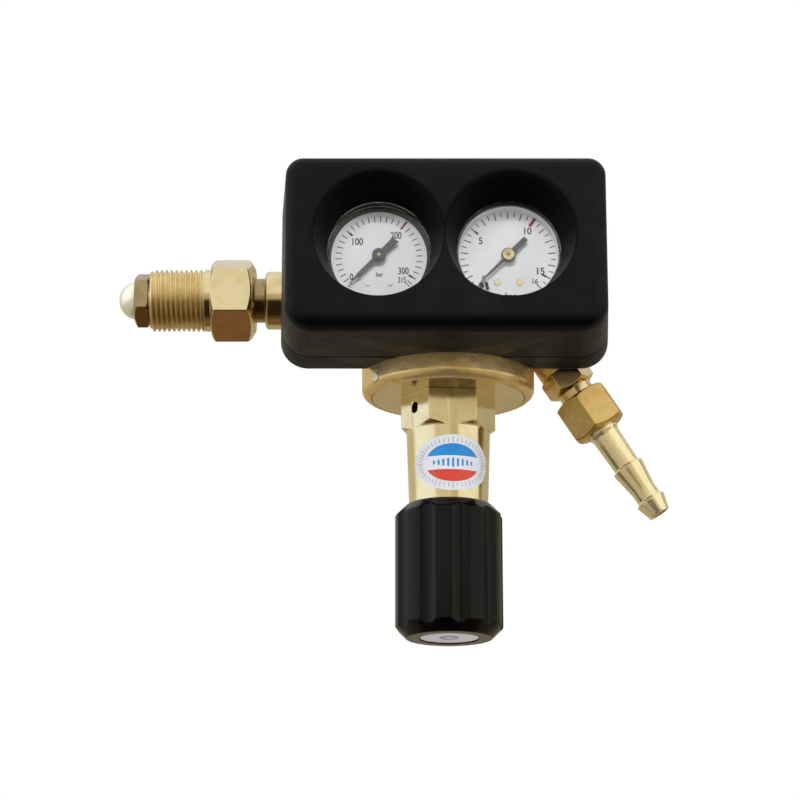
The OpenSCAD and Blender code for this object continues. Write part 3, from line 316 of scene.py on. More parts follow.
def metalLook(name):
    look = brassLooks[name]
    material, tree, shader = newMaterial(name)
    setShader(shader, metal=look.get("metal", 1.0))
    point = objectPoint(tree)
    patches = noiseAt(tree, point, metalWear["patchScale"], 4, 0.6)
    rings = ringsAlong(tree, point, look["axis"], metalWear["ringScale"], 1.5)
    grain = noiseAt(tree, point, metalWear["grainScale"], 3)
    patchy = smoothStep(tree, patches, *metalWear["patchEdge"])
    color = mixColors(tree, patchy, look["tint"], look["dull"])
    tree.links.new(color, shader.inputs["Base Color"])
    patchPart = mathNode(tree, "MULTIPLY", patches, metalWear["patchShare"])
    ringPart = mathNode(tree, "MULTIPLY", rings, metalWear["ringShare"])
    worn = mathNode(tree, "ADD", patchPart, ringPart)
    rough = smoothStep(tree, worn, *metalWear["wornEdge"], *look["rough"])
    tree.links.new(rough, shader.inputs["Roughness"])
    under = addBump(tree, shader, noiseAt(tree, point, metalWear["dentScale"], 1), look["dents"])
    under = addBump(tree, shader, grain, look["grain"], under=under)
    if look["marks"]:
        addBump(tree, shader, rings, look["marks"], under=under)
    return material


# tint and bloom mix in clouds; grain is a bump depth in metres and scale is its noise scale
softLooks = {
    "bootRubber": {"tint": (0.0046, 0.0045, 0.0062), "bloom": (0.0064, 0.0062, 0.0082),
                   "rough": (0.42, 0.5), "shine": 0.09, "grain": 0.000008, "scale": 2200, "sheen": 0.04},
    "knobPlastic": {"tint": (0.0006, 0.0006, 0.0008), "bloom": (0.0012, 0.0012, 0.0014),
                    "rough": (0.1, 0.14), "shine": 0.2, "grain": 0.0000015, "scale": 2600},
    "capPlastic": {"tint": (0.60, 0.60, 0.61), "bloom": (0.68, 0.68, 0.69), "rough": (0.35, 0.5),
                   "shine": 0.5, "grain": 0.00001, "scale": 1800},
    "sealPlastic": {"tint": (0.80, 0.78, 0.70), "bloom": (0.85, 0.84, 0.78), "rough": (0.35, 0.5),
                    "shine": 0.5, "grain": 0.000005, "scale": 1500},
    "diaphragmRubber": {"tint": (0.02, 0.02, 0.02), "bloom": (0.035, 0.035, 0.035), "rough": (0.55, 0.7),
                        "shine": 0.4, "grain": 0.00004, "scale": 1800},
    "caseEnamel": {"tint": (0.010, 0.010, 0.012), "bloom": (0.013, 0.013, 0.015), "rough": (0.26, 0.32),
                   "shine": 0.15, "grain": 0.0000002, "scale": 1200},
    "dialEnamel": {"tint": (0.83, 0.83, 0.84), "bloom": (0.86, 0.86, 0.87), "rough": (0.4, 0.5),
                   "shine": 0.3, "grain": 0.000001, "scale": 900},
    "pointerEnamel": {"tint": (0.085, 0.085, 0.095), "bloom": (0.12, 0.12, 0.13), "rough": (0.3, 0.42),
                      "shine": 0.5, "grain": 0.000003, "scale": 1800},
    "dialInk": {"tint": (0.02, 0.02, 0.025), "bloom": (0.035, 0.035, 0.04), "rough": (0.4, 0.5),
                "shine": 0.3, "grain": 0.0, "scale": 900},
    "redInk": {"tint": (0.30, 0.015, 0.02), "bloom": (0.36, 0.025, 0.03), "rough": (0.4, 0.5),
               "shine": 0.3, "grain": 0.0, "scale": 900},
    "labelWhite": {"tint": (0.60, 0.615, 0.65), "bloom": (0.64, 0.65, 0.68), "rough": (0.25, 0.34),
                   "shine": 0.5, "grain": 0.000002, "scale": 900},
    "labelBlue": {"tint": (0.012, 0.19, 0.50), "bloom": (0.016, 0.22, 0.54), "rough": (0.25, 0.34),
                  "shine": 0.5, "grain": 0.000002, "scale": 900},
    "labelRed": {"tint": (0.52, 0.045, 0.025), "bloom": (0.56, 0.06, 0.035), "rough": (0.25, 0.34),
                 "shine": 0.5, "grain": 0.000002, "scale": 900},
    "labelGrey": {"tint": (0.28, 0.28, 0.31), "bloom": (0.34, 0.34, 0.37), "rough": (0.25, 0.34),
                  "shine": 0.5, "grain": 0.0, "scale": 900},
}


softWear = {
    "cloudScale": 60,
    "roughScale": 300,
    "cloudEdge": (0.4, 0.66),
    "roughEdge": (0.3, 0.7),
    "sheenRough": 0.3,
}


def softLook(name):
    look = softLooks[name]
    material, tree, shader = newMaterial(name)
    setShader(shader, shine=look["shine"])
    point = objectPoint(tree)
    clouds = noiseAt(tree, point, softWear["cloudScale"], 4, 0.6)
    cloudy = smoothStep(tree, clouds, *softWear["cloudEdge"])
    color = mixColors(tree, cloudy, look["tint"], look["bloom"])
    tree.links.new(color, shader.inputs["Base Color"])
    blotches = noiseAt(tree, point, softWear["roughScale"], 3)
    rough = smoothStep(tree, blotches, *softWear["roughEdge"], *look["rough"])
    tree.links.new(rough, shader.inputs["Roughness"])
    if look["grain"]:
        addBump(tree, shader, noiseAt(tree, point, look["scale"], 2), look["grain"])
    if "sheen" in look:
        shader.inputs["Sheen Weight"].default_value = look["sheen"]
        shader.inputs["Sheen Roughness"].default_value = softWear["sheenRough"]
        # the boot also gets painted shade in its recesses and along its lower front edge
        paintRecessShadeAndDust(tree, shader, point)
    return material


# metres; each pair of places runs from plain to painted shade, which is darker and rougher
recessShade = {
    "edgeZ": (-0.0228, -0.0262),
    "edgeY": (-0.0568, -0.0584),
    "recessZ": (-0.01, 0.016),
    "recessShare": (0.3, 1.0),
    "radius": (0.0246, 0.0215),
    "rough": 0.9,
    # the near-black colour of the painted shade
    "tint": (0.0006, 0.0006, 0.0008),
}
bootDust = {
    "speckScale": 420.0,
    "speckSize": (0.1, 0.06),
    "patchScale": 90,
    "patchEdge": (0.5, 0.62),
    "tint": (0.03, 0.03, 0.034),
}


# the boot gets painted shade, darker and rougher, in its two round recesses and along its lower front
# edge, with dust on the rest
def paintRecessShadeAndDust(tree, shader, point):
    shade = recessShade
    x, y, z = addNode(tree, "ShaderNodeSeparateXYZ", {0: point}).outputs
    # the mask of painted shade: along the lower front edge, and round each recess, stronger higher up
    lowShadeBand = smoothStep(tree, z, *shade["edgeZ"])
    frontShadeBand = smoothStep(tree, y, *shade["edgeY"])
    inside = mathNode(tree, "MULTIPLY", lowShadeBand, frontShadeBand)
    upperShadeShare = smoothStep(tree, z, *shade["recessZ"], *shade["recessShare"])
    for side in gaugeX:
        flat = addNode(tree, "ShaderNodeCombineXYZ", {"X": x, "Z": z})
        middle = (gaugeX[side] * mm, 0, gaugeZ * mm)
        away = addNode(tree, "ShaderNodeVectorMath", {0: flat.outputs[0], 1: middle},
                       operation="DISTANCE")
        near = smoothStep(tree, away.outputs["Value"], *shade["radius"])
        inside = mathNode(tree, "MAXIMUM", inside, mathNode(tree, "MULTIPLY", near, upperShadeShare))
    plainRough = shader.inputs["Roughness"].links[0].from_socket
    tree.links.new(mixNumbers(tree, inside, plainRough, shade["rough"]), shader.inputs["Roughness"])
    dots = addNode(tree, "ShaderNodeTexVoronoi", {"Vector": point, "Scale": bootDust["speckScale"]})
    dust = smoothStep(tree, dots.outputs["Distance"], *bootDust["speckSize"])
    some = smoothStep(tree, noiseAt(tree, point, bootDust["patchScale"], 3), *bootDust["patchEdge"])
    specks = mathNode(tree, "MULTIPLY", dust, some)
    plain = shader.inputs["Base Color"].links[0].from_socket
    dusty = mixColors(tree, specks, plain, bootDust["tint"])
    # painted shade: the masked places take the near-black colour over the dusty rubber
    tree.links.new(mixColors(tree, inside, dusty, shade["tint"]), shader.inputs["Base Color"])


windowPane = {
    "hazeScale": 400,
    "hazeEdge": (0.3, 0.7),
    "rough": (0.02, 0.06),
    "tint": (0.975, 0.98, 0.985, 1),
    "ior": 1.4,
}


def windowLook():
    material, tree, shader = newMaterial("clearWindow")
    tree.nodes.remove(shader)
    haze = noiseAt(tree, objectPoint(tree), windowPane["hazeScale"], 2)
    rough = smoothStep(tree, haze, *windowPane["hazeEdge"], *windowPane["rough"])
    shine = addNode(tree, "ShaderNodeBsdfGlossy", {"Color": (1, 1, 1, 1), "Roughness": rough}).outputs[0]
    clear = addNode(tree, "ShaderNodeBsdfTransparent", {"Color": windowPane["tint"]}).outputs[0]
    edge = addNode(tree, "ShaderNodeFresnel", {"IOR": windowPane["ior"]}).outputs[0]
    both = addNode(tree, "ShaderNodeMixShader", {0: edge, 1: clear, 2: shine})
    output = tree.nodes["Material Output"]
    tree.links.new(both.outputs[0], output.inputs["Surface"])
    return material


looks = {name: metalLook(name) for name in brassLooks}
looks.update({name: softLook(name) for name in softLooks})
looks["clearWindow"] = windowLook()
print("materials made:", len(looks))


# mesh parts
meshTools = {
    "merge": 0.002,           # points nearer than this are one, in a CAD copy and in a lathed shape
    "latheMerge": 0.001,
    "flatAngle": 0.4,         # degrees within which faces count as one flat
    "strayOutward": 0.3,      # how far a bevelled point may leave the old surface, as shares
    "strayInward": 0.5,       # of the bevel's width
}


def finishPiece(name, bm, lookNames, body, nodes=(), sharp=40):
    bmesh.ops.recalc_face_normals(bm, faces=bm.faces)
    mesh = bpy.data.meshes.new(name)
    bm.to_mesh(mesh)
    bm.free()
    for lookName in lookNames:
        mesh.materials.append(looks[lookName])
    mesh.shade_smooth()
    mesh.set_sharp_from_angle(angle=math.radians(sharp))
    piece = bpy.data.objects.new(name, mesh)
    bpy.context.scene.collection.objects.link(piece)
    flat = piece.modifiers.new("flatFaces", "WEIGHTED_NORMAL")
    flat.keep_sharp = True
    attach(piece, body)
    if nodes:
        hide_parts(*nodes)
    return piece


def dissolveFlats(bm):
    limit = math.radians(meshTools["flatAngle"])
    bmesh.ops.dissolve_limit(bm, angle_limit=limit, verts=bm.verts, edges=bm.edges)


# a merged copy of a CAD node, with flat faces whole again
def cadCopy(node, flat=True):
    bm = bmesh.new()
    bm.from_mesh(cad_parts[node].data)
    bmesh.ops.remove_doubles(bm, verts=bm.verts, dist=meshTools["merge"] * mm)
    if flat:
        dissolveFlats(bm)
    for face in bm.faces:
        face.material_index = 0
    return bm


def softenEdges(bm, width, angle=30, steps=2):
    before = bm.copy()
    bmesh.ops.triangulate(before, faces=before.faces)
    surface = BVHTree.FromBMesh(before)
    before.free()
    sharp = math.radians(angle)
    edges = [e for e in bm.edges if len(e.link_faces) == 2 and e.calc_face_angle(0) > sharp]
    bmesh.ops.bevel(bm, geom=edges, offset=width * mm, segments=steps, profile=0.5, affect="EDGES",
                    material=-1, clamp_overlap=False)
    for v in bm.verts:      # a bevel can throw a vertex off at a crowded corner
        nearest, outward, _, away = surface.find_nearest(v.co)
        side = "strayOutward" if (v.co - nearest).dot(outward) > 0 else "strayInward"
        if away > meshTools[side] * width * mm:
            v.co = nearest


# spins a closed profile of (radius, height) points round Z
def latheShape(bm, points, steps=96):
    profile = [bm.verts.new((r * mm, 0, z * mm)) for r, z in points]
    edges = [bm.edges.new(pair) for pair in zip(profile, profile[1:] + profile[:1])]
    bmesh.ops.spin(bm, geom=profile + edges, cent=(0, 0, 0), axis=(0, 0, 1), steps=steps,
                   angle=math.radians(360), use_merge=True)
    bmesh.ops.remove_doubles(bm, verts=bm.verts, dist=meshTools["latheMerge"] * mm)


# lays a lathed shape on its axis; the matrix is in millimetres
def layOn(bm, matrix):
    scaled = Matrix.Scale(mm, 4) @ matrix @ Matrix.Scale(1 / mm, 4)
    bmesh.ops.transform(bm, matrix=scaled, verts=bm.verts)


# takes the cutter's shape away and gives back a new bmesh
def cutAway(bm, cutter):
    made = []
    for part in (bm, cutter):
        bmesh.ops.recalc_face_normals(part, faces=part.faces)
        mesh = bpy.data.meshes.new("cutPart")
        part.to_mesh(mesh)
        part.free()
        made.append(bpy.data.objects.new("cutPart", mesh))
        bpy.context.scene.collection.objects.link(made[-1])
    blank, tool = made
    cut = blank.modifiers.new("cut", "BOOLEAN")
    cut.object = tool
    cut.operation = "DIFFERENCE"
    cut.solver = "EXACT"
    bpy.context.view_layer.update()
    done = blank.evaluated_get(bpy.context.evaluated_depsgraph_get())
    result = bmesh.new()
    result.from_mesh(done.to_mesh())
    done.to_mesh_clear()
    for piece in made:
        mesh = piece.data
        bpy.data.objects.remove(piece)
        bpy.data.meshes.remove(mesh)
    return result


# adds a part to the mesh and frees it
def joinTo(bm, part):
    mesh = bpy.data.meshes.new("joined")
    part.to_mesh(mesh)
    part.free()
    bm.from_mesh(mesh)
    bpy.data.meshes.remove(mesh)


softCopies = {
    # node: (look, rides on, slot, edge width)
    "body": ("forgedBrass", "regulator", "forged_brass", 0.35),
    "bonnet": ("bonnetBrass", "regulator", "forged_brass", 0.25),
    "bonnet_lock_pin": ("paleBrass", "regulator", "turned_brass", 0.3),
    "inlet_stem": ("inletBrass", "regulator", "turned_brass", 0.25),
    "inlet_nose": ("paleBrass", "regulator", "pale_nose", 0.2),
    "outlet_adapter": ("outletBrass", "regulator", "turned_brass", 0.2),
    "union_nut": ("unionBrass", "union_nut", "turned_brass", 0.25),
    "hose_tail": ("tailBrass", "regulator", "turned_brass", 0.2),
    "chamber_plug": ("inletBrass", "regulator", "turned_brass", 0.25),
    "relief_cap": ("inletBrass", "regulator", "turned_brass", 0.2),
    "knob": ("knobPlastic", "knob", "knob_plastic", 0.45),
    "knob_cap": ("capPlastic", "knob", "cap_plastic", 0.2),
    "high_gauge_window": ("clearWindow", "regulator", "clear_window", 0.35),
    "low_gauge_window": ("clearWindow", "regulator", "clear_window", 0.35),
    "high_gauge_case": ("caseEnamel", "regulator", "case_enamel", 0.3),
    "low_gauge_case": ("caseEnamel", "regulator", "case_enamel", 0.3),
    "low_gauge_dial_screws": ("gaugeBrass", "regulator", "gauge_brass", 0.2),
}


hexagon = {
    "firstFlat": 35,          # degrees
    "apothem": 15,
    "tubeRadius": 15.3,       # a point within this is the tube's own round, showing through a flat
    "flatsDownTo": -49.6,
    "above": -37.65,          # heights between which the bonnet is looked at
    "below": -52,
    "neck": -45.9,            # where the neck starts in the CAD
    "newNeck": -49.3,         # where it starts here
    "neckShare": 0.42,        # how much of its height it keeps
    "slack": 0.05,
}


# the bonnet's hexagon runs a little further down before it necks in to the tube
def lowerHexagon(bm):
    h = hexagon
    angles = [math.radians(h["firstFlat"] + 60 * i) for i in range(6)]
    flats = [Vector((math.cos(a), math.sin(a), 0)) for a in angles]
    for v in bm.verts:
        z = v.co.z / mm
        if not h["below"] < z < h["above"]:
            continue
        out = v.co - Vector((bonnetX * mm, 0, v.co.z))
        flat = max(flats, key=out.dot)
        over = out.dot(flat) - h["apothem"] * mm
        if z > h["flatsDownTo"] and over > 0 and out.length < h["tubeRadius"] * mm:
            v.co -= flat * over
        if z - h["neck"] < h["slack"]:
            v.co.z = (h["newNeck"] + (z - h["neck"]) * h["neckShare"]) * mm
    dissolveFlats(bm)


secondLooks = {
    "inlet_nose": ["darkerBrass"],
    "inlet_stem": ["darkerBrass"],
    "knob_cap": ["labelGrey"],
}
darkerFaces = {"noseFrom": -28.35, "stemTo": 19.7}
punchMark = {"turn": 53, "away": 31.2, "height": -37.0, "radius": 0.95}
capRing = {"inner": 2.1, "outer": 3.2, "low": -126.2, "high": -126.0}


def dressNose(bm):
    for face in bm.faces:
        if face.calc_center_median().x > darkerFaces["noseFrom"] * mm:
            face.material_index = 1
    return bm


def dressStem(bm):
    for face in bm.faces:
        if face.calc_center_median().x < darkerFaces["stemTo"] * mm:
            face.material_index = 1
    return bm


# the small round dent in the cup's rim
def addPunchMark(bm):
    turn, away = math.radians(punchMark["turn"]), punchMark["away"]
    dimple = bmesh.new()
    bmesh.ops.create_icosphere(dimple, subdivisions=3, radius=punchMark["radius"] * mm)
    place = Vector((bonnetX + away * math.sin(turn), -away * math.cos(turn), punchMark["height"])) * mm
    bmesh.ops.translate(dimple, vec=place, verts=dimple.verts)
    return cutAway(bm, dimple)


# the gate mark in the knob's cap
def addCapRing(bm):
    ringMark = bmesh.new()
    c = capRing
    latheShape(ringMark, [(c["inner"], c["low"]), (c["outer"], c["low"]),
                          (c["outer"], c["high"]), (c["inner"], c["high"])], steps=64)
    layOn(ringMark, onBonnet)
    for face in ringMark.faces:
        face.material_index = 1
    joinTo(bm, ringMark)
    return bm


extras = {"inlet_nose": dressNose, "inlet_stem": dressStem, "body": addPunchMark, "knob_cap": addCapRing}


def makeSoftCopies():
    for node, (look, body, slot, width) in softCopies.items():
        bm = cadCopy(node)
        if node == "bonnet":
            lowerHexagon(bm)
        softenEdges(bm, width)
        if node in extras:
            bm = extras[node](bm)
        finishPiece(node + "_shape", bm, [look] + secondLooks.get(node, []), body, [node])
        print("softened", node)


# each spring is a copy of its CAD coil, with a mesh of its own
springs = {
    # node: (joint, fixed end's height, travel at the joint's limit), in metres
    "main_spring": ("carrier_travel", -0.0325, 0.00876),
    "poppet_spring": ("valve_lift", 0.006, 0.001),
    "relief_spring": ("relief_lift", 0.0255, 0.0015),
}


def makeSprings():
    for node, (joint, fixedEnd, travel) in springs.items():
        bm = cadCopy(node, flat=False)
        coil = finishPiece(node + "_coil", bm, ["springSteel"], "regulator", [node], sharp=50)
        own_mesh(coil)


threadSizes = {
    "outside": 11.455,
    "root": 10.2,
    "bore": 8.25,
    "pitch": 1.814,
    "start": -22.7,
    "end": -2.3,
    "turns": 12,
    "steps": 72,              # in each turn
    "foot": (0.1, 0.4),       # the sleeve's thicker start: extra radius, length
    "chamfer": 1.1,
    "edge": 0.3,              # rounding of the hexagon's edges
    "firstRise": 0.15,        # the ridge grows from this over the root
    "runOut": 0.9,            # and dies away this far before its end
    "runOutSlope": 1.2,
}


# keeps one side of a flat cut across an axis
def cutOff(bm, place, outward):
    every = bm.verts[:] + bm.edges[:] + bm.faces[:]
    bmesh.ops.bisect_plane(bm, geom=every, plane_co=place, plane_no=outward, clear_outer=True)


def threadSleeve():
    t = threadSizes
    sleeve = bmesh.new()
    start, end, root = t["start"], t["end"], t["root"]
    extra, length = t["foot"]
    latheShape(sleeve, [(t["bore"], start), (root + extra, start), (root, start + length),
                        (root, end - t["chamfer"]), (t["outside"], end), (t["bore"], end)])
    return sleeve


# one thread ridge, swept round and along
def threadRidge():
    t = threadSizes
    pitch, root, top = t["pitch"], t["root"], t["outside"]
    # half of the ridge's outline: radius, distance from its middle
    half = [(root - 0.2, 0.48 * pitch), (root + 0.02, 0.44 * pitch), (top - 0.1, 0.1 * pitch),
            (top, 0.04 * pitch)]
    outline = [(r, -z) for r, z in half] + half[::-1]
    z0 = t["start"] - 0.3 * pitch
    ridge = bmesh.new()
    profile = [ridge.verts.new((r * mm, 0, (z + z0) * mm)) for r, z in outline]
    edges = [ridge.edges.new(pair) for pair in zip(profile, profile[1:] + profile[:1])]
    steps = t["turns"] * t["steps"]
    bmesh.ops.spin(ridge, geom=profile + edges, cent=(0, 0, 0), axis=(0, 0, 1), steps=steps,
                   angle=math.radians(360 * t["turns"]), dvec=(0, 0, t["turns"] * pitch * mm / steps))
    for v in ridge.verts:
        r = math.hypot(v.co.x, v.co.y)
        most = (root + t["firstRise"]) * mm + max(v.co.z - t["start"] * mm, 0)
        late = (t["end"] - t["runOut"]) * mm - v.co.z
        if late < 0:
            most = min(most, max((root - 0.1) * mm, (top + 0.1) * mm + late * t["runOutSlope"]))
        if r > most:
            v.co.x *= most / r
            v.co.y *= most / r
    for z, way in ((t["start"], -1), (t["end"], 1)):
        cutOff(ridge, (0, 0, z * mm), (0, 0, way))
    bmesh.ops.holes_fill(ridge, edges=[e for e in ridge.edges if e.is_boundary])
    return ridge


def makeInletNut():
    bm = cadCopy("inlet_nut")
    cutOff(bm, (threadSizes["end"] * mm, 0, 0), (-1, 0, 0))
    softenEdges(bm, threadSizes["edge"])
    for part in (threadSleeve(), threadRidge()):
        layOn(part, onInlet)
        for face in part.faces:
            face.material_index = 1
        joinTo(bm, part)
    finishPiece("inlet_nut_threaded", bm, ["inletBrass", "threadBrass"], "inlet_nut", ["inlet_nut"],
                sharp=50)


bootSizes = {
    "rimRound": 1.5,
    "rimSteps": 6,
    "rimEnd": 91,             # degrees, just past level with the front
    "mouth": 22.78,           # radii of the flare at the front and at the lip
    "waist": 18.48,
    "front": 60.2,            # how far each lies in front of the inlet's axis
    "lip": 41.0,
    "under": 40.2,
    "over": 1,                # how far the cutter reaches past the front
}


# the two recesses are cut again with a trumpet, so that their rims are round
def makeBoot():
    b = bootSizes
    bm = cadCopy("gauge_boot", flat=False)
    slope = math.atan((b["mouth"] - b["waist"]) / (b["front"] - b["lip"]))
    rimX = b["mouth"] + b["rimRound"] * math.tan((math.pi / 2 - slope) / 2)
    first, last = math.pi - slope, math.radians(b["rimEnd"])
    turns = [first + (last - first) * i / b["rimSteps"] for i in range(b["rimSteps"] + 1)]
    arc = [(rimX + b["rimRound"] * math.cos(a), b["front"] - b["rimRound"] + b["rimRound"] * math.sin(a))
           for a in turns]
    throat = [(0, b["under"]), (b["waist"], b["under"]), (b["waist"], b["lip"])]
    end = [(rimX, b["front"] + b["over"]), (0, b["front"] + b["over"])]
    for side in gaugeX:
        cutter = bmesh.new()
        latheShape(cutter, throat + arc + end)
        layOn(cutter, onGauge(side))
        bm = cutAway(bm, cutter)
    finishPiece("gauge_boot_rubber", bm, ["bootRubber"], "regulator", ["gauge_boot"],
                sharp=50)


# what is printed on the dials
dials = {
    "high": {
        "full": 315, "step": 10, "long": 100, "half": None,
        "ticks": (13.4, 15.6), "bold": (12.5, 15.4),
        "red": 200, "redSpan": (13.1, 16.9), "redWidth": 0.8, "edge": 17.15,
        "words": [      # word, middle, width and height
            ("0", -9.84, -7.24, 1.2, 2.45), ("100", -7.67, 5.96, 3.8, 2.72),
            ("200", 6.1, 8.28, 3.8, 2.72), ("300", 8.74, -5.06, 3.7, 2.6),
            ("315", 8.2, -8.47, 2.8, 2.3), ("bar", 0.2, -6.43, 2.6, 1.65),
        ],
        "stops": [(-6.9, -7.6, 0.9, 1.1)], "stopLook": 2,
    },
    "low": {
        "full": 16, "step": 0.5, "long": 5, "half": 1,
        "ticks": (15.4, 17.1), "bold": (13.8, 17.1),
        "red": 10, "redSpan": (14.0, 17.6), "redWidth": 1.15, "edge": None,
        "words": [
            ("0", -8.75, -8.13, 1.3, 2.6), ("5", -9.8, 6.23, 1.4, 2.65),
            ("10", 7.17, 9.97, 2.7, 2.65), ("15", 11.6, -5.2, 2.7, 2.65),
            ("16", 9.6, -9.0, 2.0, 2.1), ("bar", 0.8, -14.4, 3.9, 2.4),
        ],
        "stops": [(-9.6, -10.6, 1.5, 1.7), (-7.7, -10.9, 1.0, 2.5)], "stopLook": 0,
    },
}
dialFront = 33.1
dialStart = 225      # degrees; the scales run clockwise from here
dialSweep = 270
printing = {
    "lift": 0.03,             # of the ink over the dial
    "letterWeight": 0.018,
    "fine": 0.34,             # widths of the ticks
    "middling": 0.38,
    "middlingInset": 0.6,
    "strong": 0.4,
    "head": (1.5, 0.75, 0.035),     # length, width and lift of the thick start of a long tick
    "redTip": (1.2, 0.45, 0.06),    # the same for the black end of the red tick
    "rim": (18.5, 0.01, 0.25),      # outer radius, bottom and top of the black edge
    "wall": (17.55, 17.95, 4.6),    # radii and height of the white edge
    "stopHeight": 1.2,
    "stopTurn": 12,
}


def addTick(bm, angle, inner, outer, width, lift=printing["lift"]):
    made = bmesh.ops.create_grid(bm, x_segments=1, y_segments=1, size=0.5)["verts"]
    bmesh.ops.scale(bm, vec=((outer - inner) * mm, width * mm, 1), verts=made)
    bmesh.ops.translate(bm, vec=((outer + inner) / 2 * mm, 0, (dialFront + lift) * mm), verts=made)
    bmesh.ops.rotate(bm, cent=(0, 0, 0), matrix=Matrix.Rotation(math.radians(angle), 3, "Z"), verts=made)
    return made


def addWord(bm, word, x, z, width, height):
    curve = bpy.data.curves.new("word", "FONT")
    curve.body = word
    curve.offset = printing["letterWeight"]
    text = bpy.data.objects.new("word", curve)
    bpy.context.scene.collection.objects.link(text)
    bpy.context.view_layer.update()
    mesh = bpy.data.meshes.new_from_object(text)
    before = set(bm.verts)
    bm.from_mesh(mesh)
    made = [v for v in bm.verts if v not in before]
    bpy.data.objects.remove(text)
    bpy.data.meshes.remove(mesh)
    low = Vector([min(v.co[i] for v in made) for i in range(3)])
    high = Vector([max(v.co[i] for v in made) for i in range(3)])
    bmesh.ops.translate(bm, vec=-(low + high) / 2, verts=made)
    size = high - low
    bmesh.ops.scale(bm, vec=(width * mm / size.x, height * mm / size.y, 1), verts=made)
    bmesh.ops.translate(bm, vec=(x * mm, z * mm, (dialFront + printing["lift"]) * mm), verts=made)


# a ring of square section that stands on the dial
def addDialRing(bm, inner, outer, bottom, top, lookIndex):
    ring = bmesh.new()
    bottom, top = dialFront + bottom, dialFront + top
    latheShape(ring, [(inner, bottom), (inner, top), (outer, top), (outer, bottom)])
    for face in ring.faces:
        face.material_index = lookIndex
    joinTo(bm, ring)


# the small post at which the pointer rests
def addStop(bm, x, z, width, height, lookIndex):
    deep, turn = printing["stopHeight"], math.radians(printing["stopTurn"])
    stop = bmesh.ops.create_cube(bm, size=1)["verts"]
    bmesh.ops.scale(bm, vec=(width * mm, height * mm, deep * mm), verts=stop)
    bmesh.ops.rotate(bm, cent=(0, 0, 0), matrix=Matrix.Rotation(turn, 3, "Z"), verts=stop)
    bmesh.ops.translate(bm, vec=(x * mm, z * mm, (dialFront + deep / 2) * mm), verts=stop)
    for face in {f for v in stop for f in v.link_faces}:
        face.material_index = lookIndex


def dialAngle(d, value):
    return dialStart - dialSweep * value / d["full"]


def addScale(bm, d):
    inner, outer = d["bold"]
    for i in range(round(d["full"] / d["step"]) + 1):
        value = min(i * d["step"], d["full"])
        angle = dialAngle(d, value)
        if value == d["red"]:
            continue
        if value % d["long"] == 0 and value > 0:
            length, width, lift = printing["head"]
            addTick(bm, angle, inner, outer, printing["strong"])
            addTick(bm, angle, inner, inner + length, width, lift)
        elif d["half"] and value % d["half"] == 0:
            addTick(bm, angle, inner + printing["middlingInset"], d["ticks"][1], printing["middling"])
        else:
            addTick(bm, angle, *d["ticks"], printing["fine"])


def addRedTick(bm, d):
    angle = dialAngle(d, d["red"])
    inner, outer = d["redSpan"]
    length, width, lift = printing["redTip"]
    red = addTick(bm, angle, inner, outer, d["redWidth"])
    red[0].link_faces[0].material_index = 1
    addTick(bm, angle, outer - length, outer, width, lift)


def makeDialPrint(side):
    d = dials[side]
    bm = bmesh.new()
    addScale(bm, d)
    for word in d["words"]:
        addWord(bm, *word)
    addRedTick(bm, d)
    if d["edge"]:
        addDialRing(bm, d["edge"], *printing["rim"], 0)
    for stop in d["stops"]:
        addStop(bm, *stop, d["stopLook"])
    if side == "low":      # the white face turns up at its edge
        inner, outer, height = printing["wall"]
        addDialRing(bm, inner, outer, 0, height, 2)
    layOn(bm, onGauge(side))
    finishPiece(side + "_gauge_print", bm, ["dialInk", "redInk", "dialEnamel"], "regulator")


# outlines are (along, across) from the hub towards the tip
pointerShapes = {
    "high": {
        "blade": [(1.8, 0.85), (11.0, 0.72), (11.2, 0.42), (15.1, 0.07)],
        "tail": [(-1.8, 1.05), (-8.7, 1.4)], "notch": -8.2,
        "hub": 2.5, "hubLook": 0, "button": 0.42,
    },
    "low": {
        "blade": [(1.8, 0.62), (9.0, 0.44), (14.4, 0.09)],
        "tail": [(-1.8, 0.95), (-9.0, 0.95)], "notch": -9.0,
        "hub": 2.6, "hubLook": 1, "button": 0.5,
    },
}
blade = {"height": 35.4, "thick": 0.4, "edge": 0.08}


def addBlade(bm, p):
    upper = p["blade"][::-1] + p["tail"]
    lower = [(x, -y) for x, y in upper[::-1]]
    outline = upper + [(p["notch"], 0.0)] + lower
    face = bm.faces.new([bm.verts.new((x * mm, y * mm, blade["height"] * mm)) for x, y in outline])
    made = bmesh.ops.extrude_face_region(bm, geom=[face])["geom"]
    top = [v for v in made if isinstance(v, bmesh.types.BMVert)]
    bmesh.ops.translate(bm, vec=(0, 0, blade["thick"] * mm), verts=top)
    softenEdges(bm, blade["edge"], angle=40, steps=1)


# a cup with a raised middle
def addHub(bm, p):
    hub = bmesh.new()
    r = p["hub"]
    latheShape(hub, [(0.55, 35.0), (r, 35.0), (r, 36.3), (r - 0.12, 36.4), (r - 0.4, 36.4),
                     (r - 0.42, 36.8), (r - 0.6, 36.97), (0.9, 36.9), (0.75, 36.7), (0.55, 36.7)],
               steps=48)
    for face in hub.faces:
        centre = face.calc_center_median()
        inner = math.hypot(centre.x, centre.y) < (r - 0.38) * mm
        face.material_index = p["hubLook"] if inner else 0
    joinTo(bm, hub)


def addPin(bm, p):
    pin = bmesh.new()
    r = p["button"]
    latheShape(pin, [(0.0, 35.2), (r, 35.2), (r, 36.7), (r - 0.1, 36.85), (0.0, 36.9)], steps=24)
    for face in pin.faces:
        face.material_index = 1 - p["hubLook"]
    joinTo(bm, pin)


def makePointer(side):
    bm = bmesh.new()
    for addPart in (addBlade, addHub, addPin):
        addPart(bm, pointerShapes[side])
    layOn(bm, Matrix.Rotation(math.radians(dialStart), 4, "Z"))
    layOn(bm, onGauge(side))
    finishPiece(side + "_gauge_needle", bm, ["pointerEnamel", "gaugeBrass"], side + "_pointer",
                [side + "_gauge_pointer"], sharp=35)


